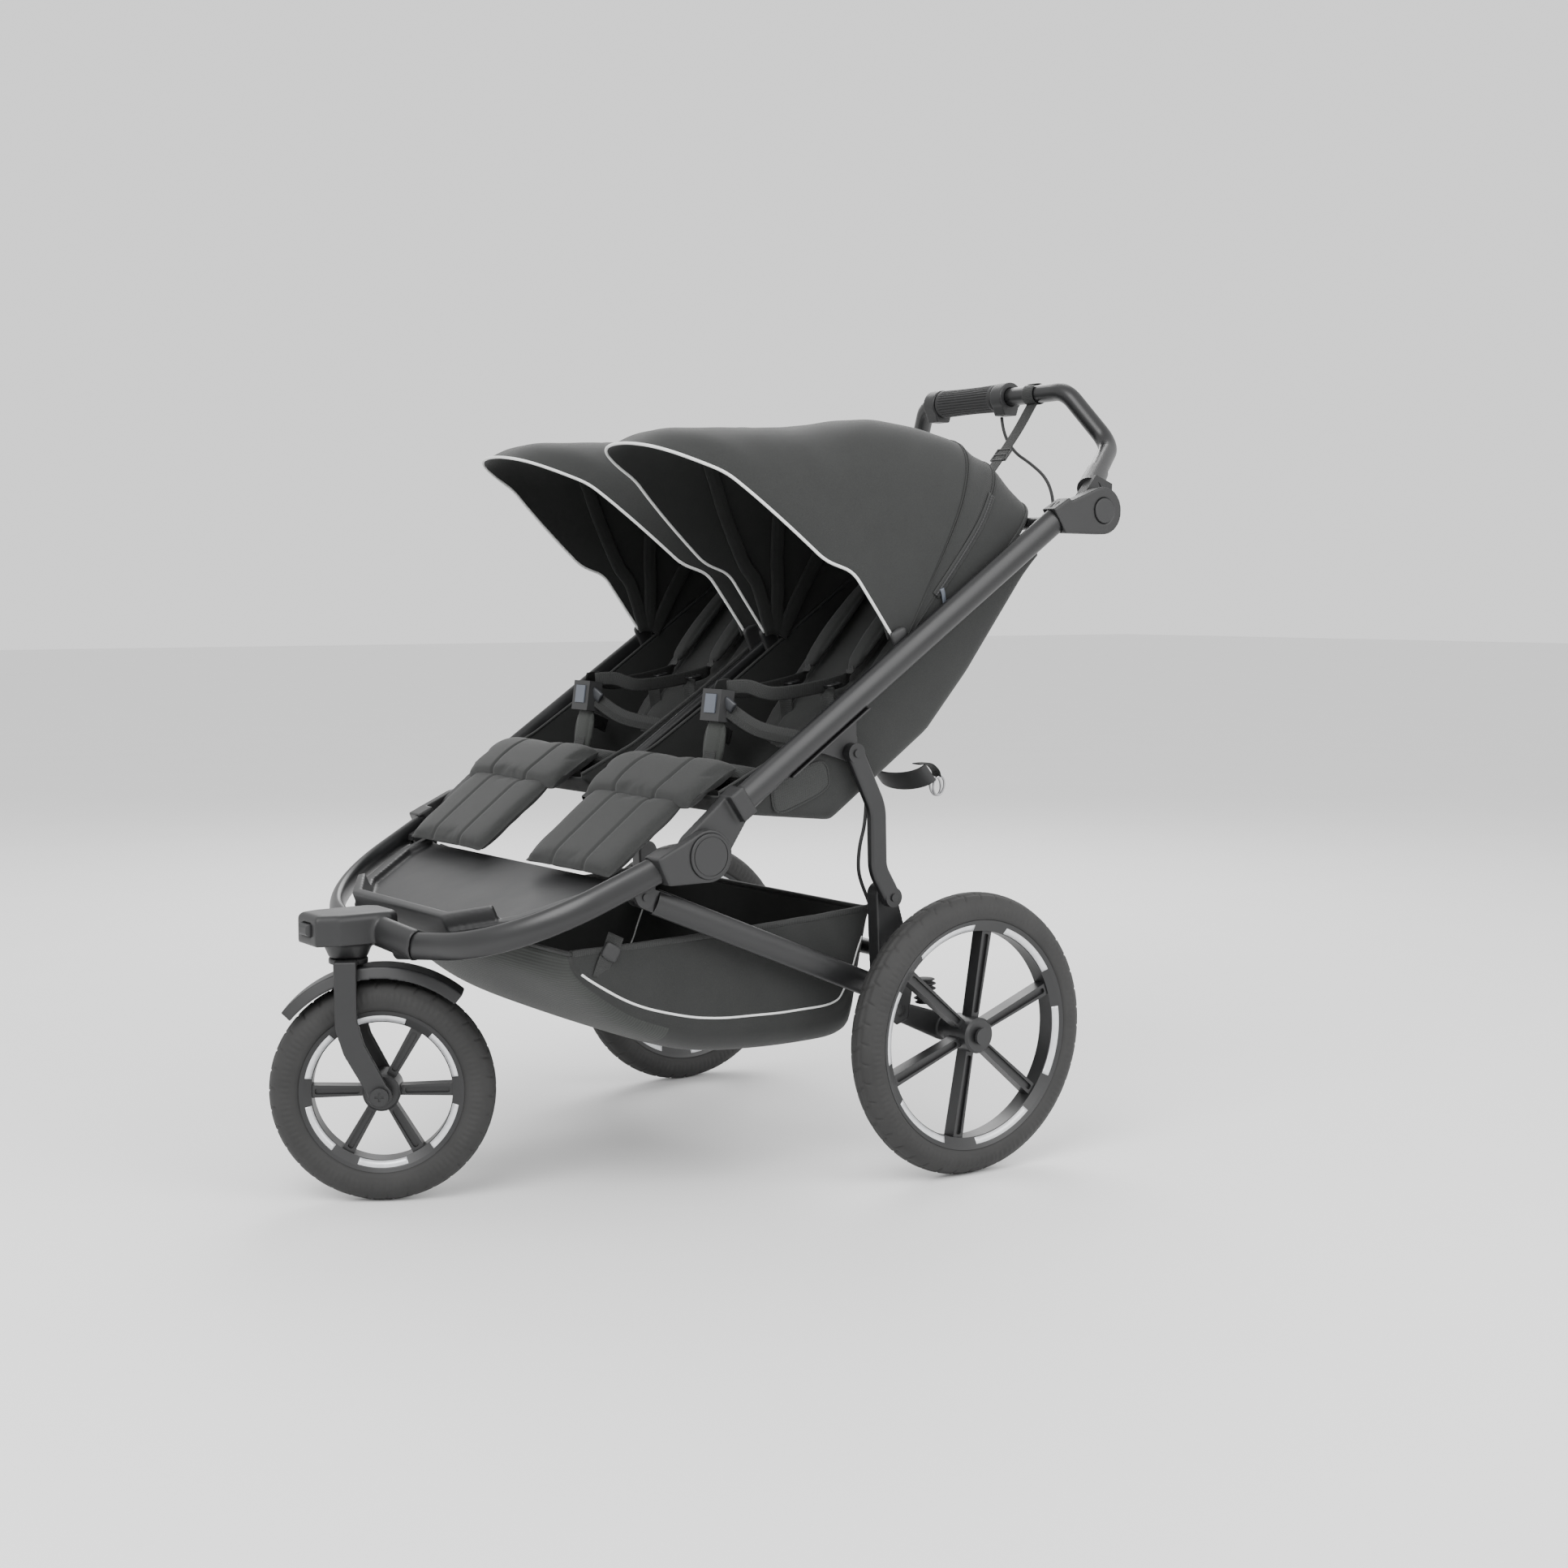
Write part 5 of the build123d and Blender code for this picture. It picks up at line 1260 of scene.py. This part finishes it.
class STROLLER_OT_fittings(bpy.types.Operator):
    """Twist grip, brake cables, wrist tether, spring bellows and recline rings"""

    bl_idname = "stroller.fittings"
    bl_label = "Fittings"

    def execute(self, context):
        laid("twist_grip_ribbed", ribbed_sleeve(GRIP_LOW, GRIP_HIGH, GRIP_R, 30), "grip", "brake_twist_grip",
             "brake_twist_grip")
        upper = cable("brake_cable_upper_line", UPPER_CABLE, FINISH["grip"], (0.3, 0.9, 0.1))
        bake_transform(upper)
        finish_piece(upper, "brake_cable_upper")
        lower = cable("brake_cable_lower_line", LOWER_CABLE, FINISH["grip"], (1, 0.1, 0.1))
        settle(lower, "upper_frame", "brake_cable_lower")
        self.tether()
        bellows = []
        t = np.linspace(0, 1, 71)
        for side in (-1, 1):
            r = 13.2 + 2.6 * np.cos(2 * math.pi * 5 * t) - 3 * smooth_step(np.abs(t - 0.5), 0.46, 0.5)
            bellows.append(turned(235.5 + 35 * t, r, side * 312, 290))
        laid("spring_bellows", bellows, "grip", "rear_frame", "suspension_bellows")
        rings, bands = [], []
        for side in (-1, 1):
            hook = [(side * 238, y, z) for y, z in ((332, 566), (352, 566), (366, 556), (370, 546))]
            bands.append(strap(smooth_line(hook, 16), 20, 2))
            for at in (-4, 4):
                a = np.linspace(0, 2 * math.pi, 49)
                ring = np.array([side * 238 + at, 370, 533]) + np.stack(
                    [2 * np.cos(a) * np.sign(at), 10 * np.sin(a), 14 * np.cos(a)], -1)
                rings.append(carried(ring, oval(3.2, 3.2, 8), (1, 0, 0)))
        laid("recline_webbing", bands, "webbing", "upper_frame")
        laid("recline_rings", rings, "steel", "upper_frame")
        return {"FINISHED"}

    @staticmethod
    def tether():
        """Webbing looped round the handlebar and down to the cross bar, with its ladder lock."""
        a = np.linspace(-0.2, 2 * math.pi - 0.6, 44)
        x = 96.5
        r = BAR_R + 1.8
        loop = np.stack([np.full(44, x), BAR_Y + r * np.sin(a), BAR_Z + r * np.cos(a)], -1)
        run = [(x, BAR_Y - 4, BAR_Z - 15), (x, 640, 1058), (x, 596, 1006), (x, 550, 956), (x, 508, 914)]
        path = smooth_line(run, 60)
        band = tube("wrist_tether_webbing", [strap(loop, 25, 1.6), strap(path, 25, 1.6)], FINISH["webbing"])
        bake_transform(band)
        finish_piece(band, "wrist_tether")
        locks = ladder_lock(path[24], path[25] - path[23], width=32, length=24)
        lock = tube("wrist_tether_lock", locks, FINISH["moulded"])
        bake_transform(lock)
        finish_piece(lock)


# ---- stage ----
CAMERA_AT = (2.650, -1.691, 0.807)
CAMERA_AZIMUTH, CAMERA_DOWN = math.radians(54.8), math.radians(5.0)


class STROLLER_OT_stage(bpy.types.Operator):
    """Pale floor, soft lights and the camera"""

    bl_idname = "stroller.stage"
    bl_label = "Stage"

    def execute(self, context):
        scene = context.scene
        lens = bpy.data.cameras.new("camera")
        lens.lens, lens.sensor_width = 49.58, 36.0
        camera = linked("camera", lens)
        camera.location = CAMERA_AT
        camera.rotation_euler = (math.pi / 2 - CAMERA_DOWN, 0, CAMERA_AZIMUTH)
        scene.camera = camera
        u, v = np.meshgrid(np.linspace(-30, 30, 31), np.linspace(-30, 30, 31), indexing="ij")
        ground = np.stack([u, v - SHIFT_Y, np.zeros_like(u)], -1).reshape(-1, 3) * 1000
        floor = mesh_object("floor", ground, quads(31, 31)[:, ::-1], FINISH["floor"], outward=False)
        for name, at, power, size in (
            ("key", (1.6, -2.6, 3.2), 150.0, 2.4), ("fill", (3.4, 1.2, 2.2), 90.0, 2.6),
            ("back", (-2.6, 1.8, 3.0), 110.0, 2.4),
        ):
            light = bpy.data.lights.new(name, "AREA")
            light.energy, light.size = power, size
            lamp = linked(name, light)
            lamp.location = at
            away = np.array(at) - np.array([0, 0, 0.5])
            lamp.rotation_euler = (math.acos(away[2] / np.linalg.norm(away)), 0,
                                   math.atan2(away[1], away[0]) + math.pi / 2)
        world = bpy.data.worlds.new("studio")
        world.use_nodes = True
        background = world.node_tree.nodes["Background"].inputs
        background["Color"].default_value = (1, 1, 1, 1)
        background["Strength"].default_value = 1.25
        scene.world = world
        return {"FINISHED"}


# ---- the add-on ----
STEPS = (STROLLER_OT_finishes, STROLLER_OT_stage, STROLLER_OT_wheels, STROLLER_OT_castings,
         STROLLER_OT_fittings, STROLLER_OT_seats, STROLLER_OT_pads, STROLLER_OT_harness,
         STROLLER_OT_canopies, STROLLER_OT_basket)


class STROLLER_PT_panel(bpy.types.Panel):
    """The stroller's colours, sizes and steps"""

    bl_idname = "STROLLER_PT_panel"
    bl_label = "Stroller"
    bl_space_type = "VIEW_3D"
    bl_region_type = "UI"
    bl_category = "Stroller"

    def draw(self, context):
        for group in (context.scene.stroller_looks, context.scene.stroller_sizes):
            for name in group.__annotations__:
                self.layout.prop(group, name)
        for step in STEPS:
            self.layout.operator(step.bl_idname)


CLASSES = (StrollerLooks, StrollerSizes, *STEPS, STROLLER_PT_panel)


def register():
    for one in CLASSES:
        bpy.utils.register_class(one)
    bpy.types.Scene.stroller_looks = PointerProperty(type=StrollerLooks)
    bpy.types.Scene.stroller_sizes = PointerProperty(type=StrollerSizes)


def unregister():
    del bpy.types.Scene.stroller_looks
    del bpy.types.Scene.stroller_sizes
    for one in reversed(CLASSES):
        bpy.utils.unregister_class(one)


def main():
    register()
    for step in STEPS:
        group, name = step.bl_idname.split(".")
        getattr(getattr(bpy.ops, group), name)()


if __name__ == "__main__":
    main()
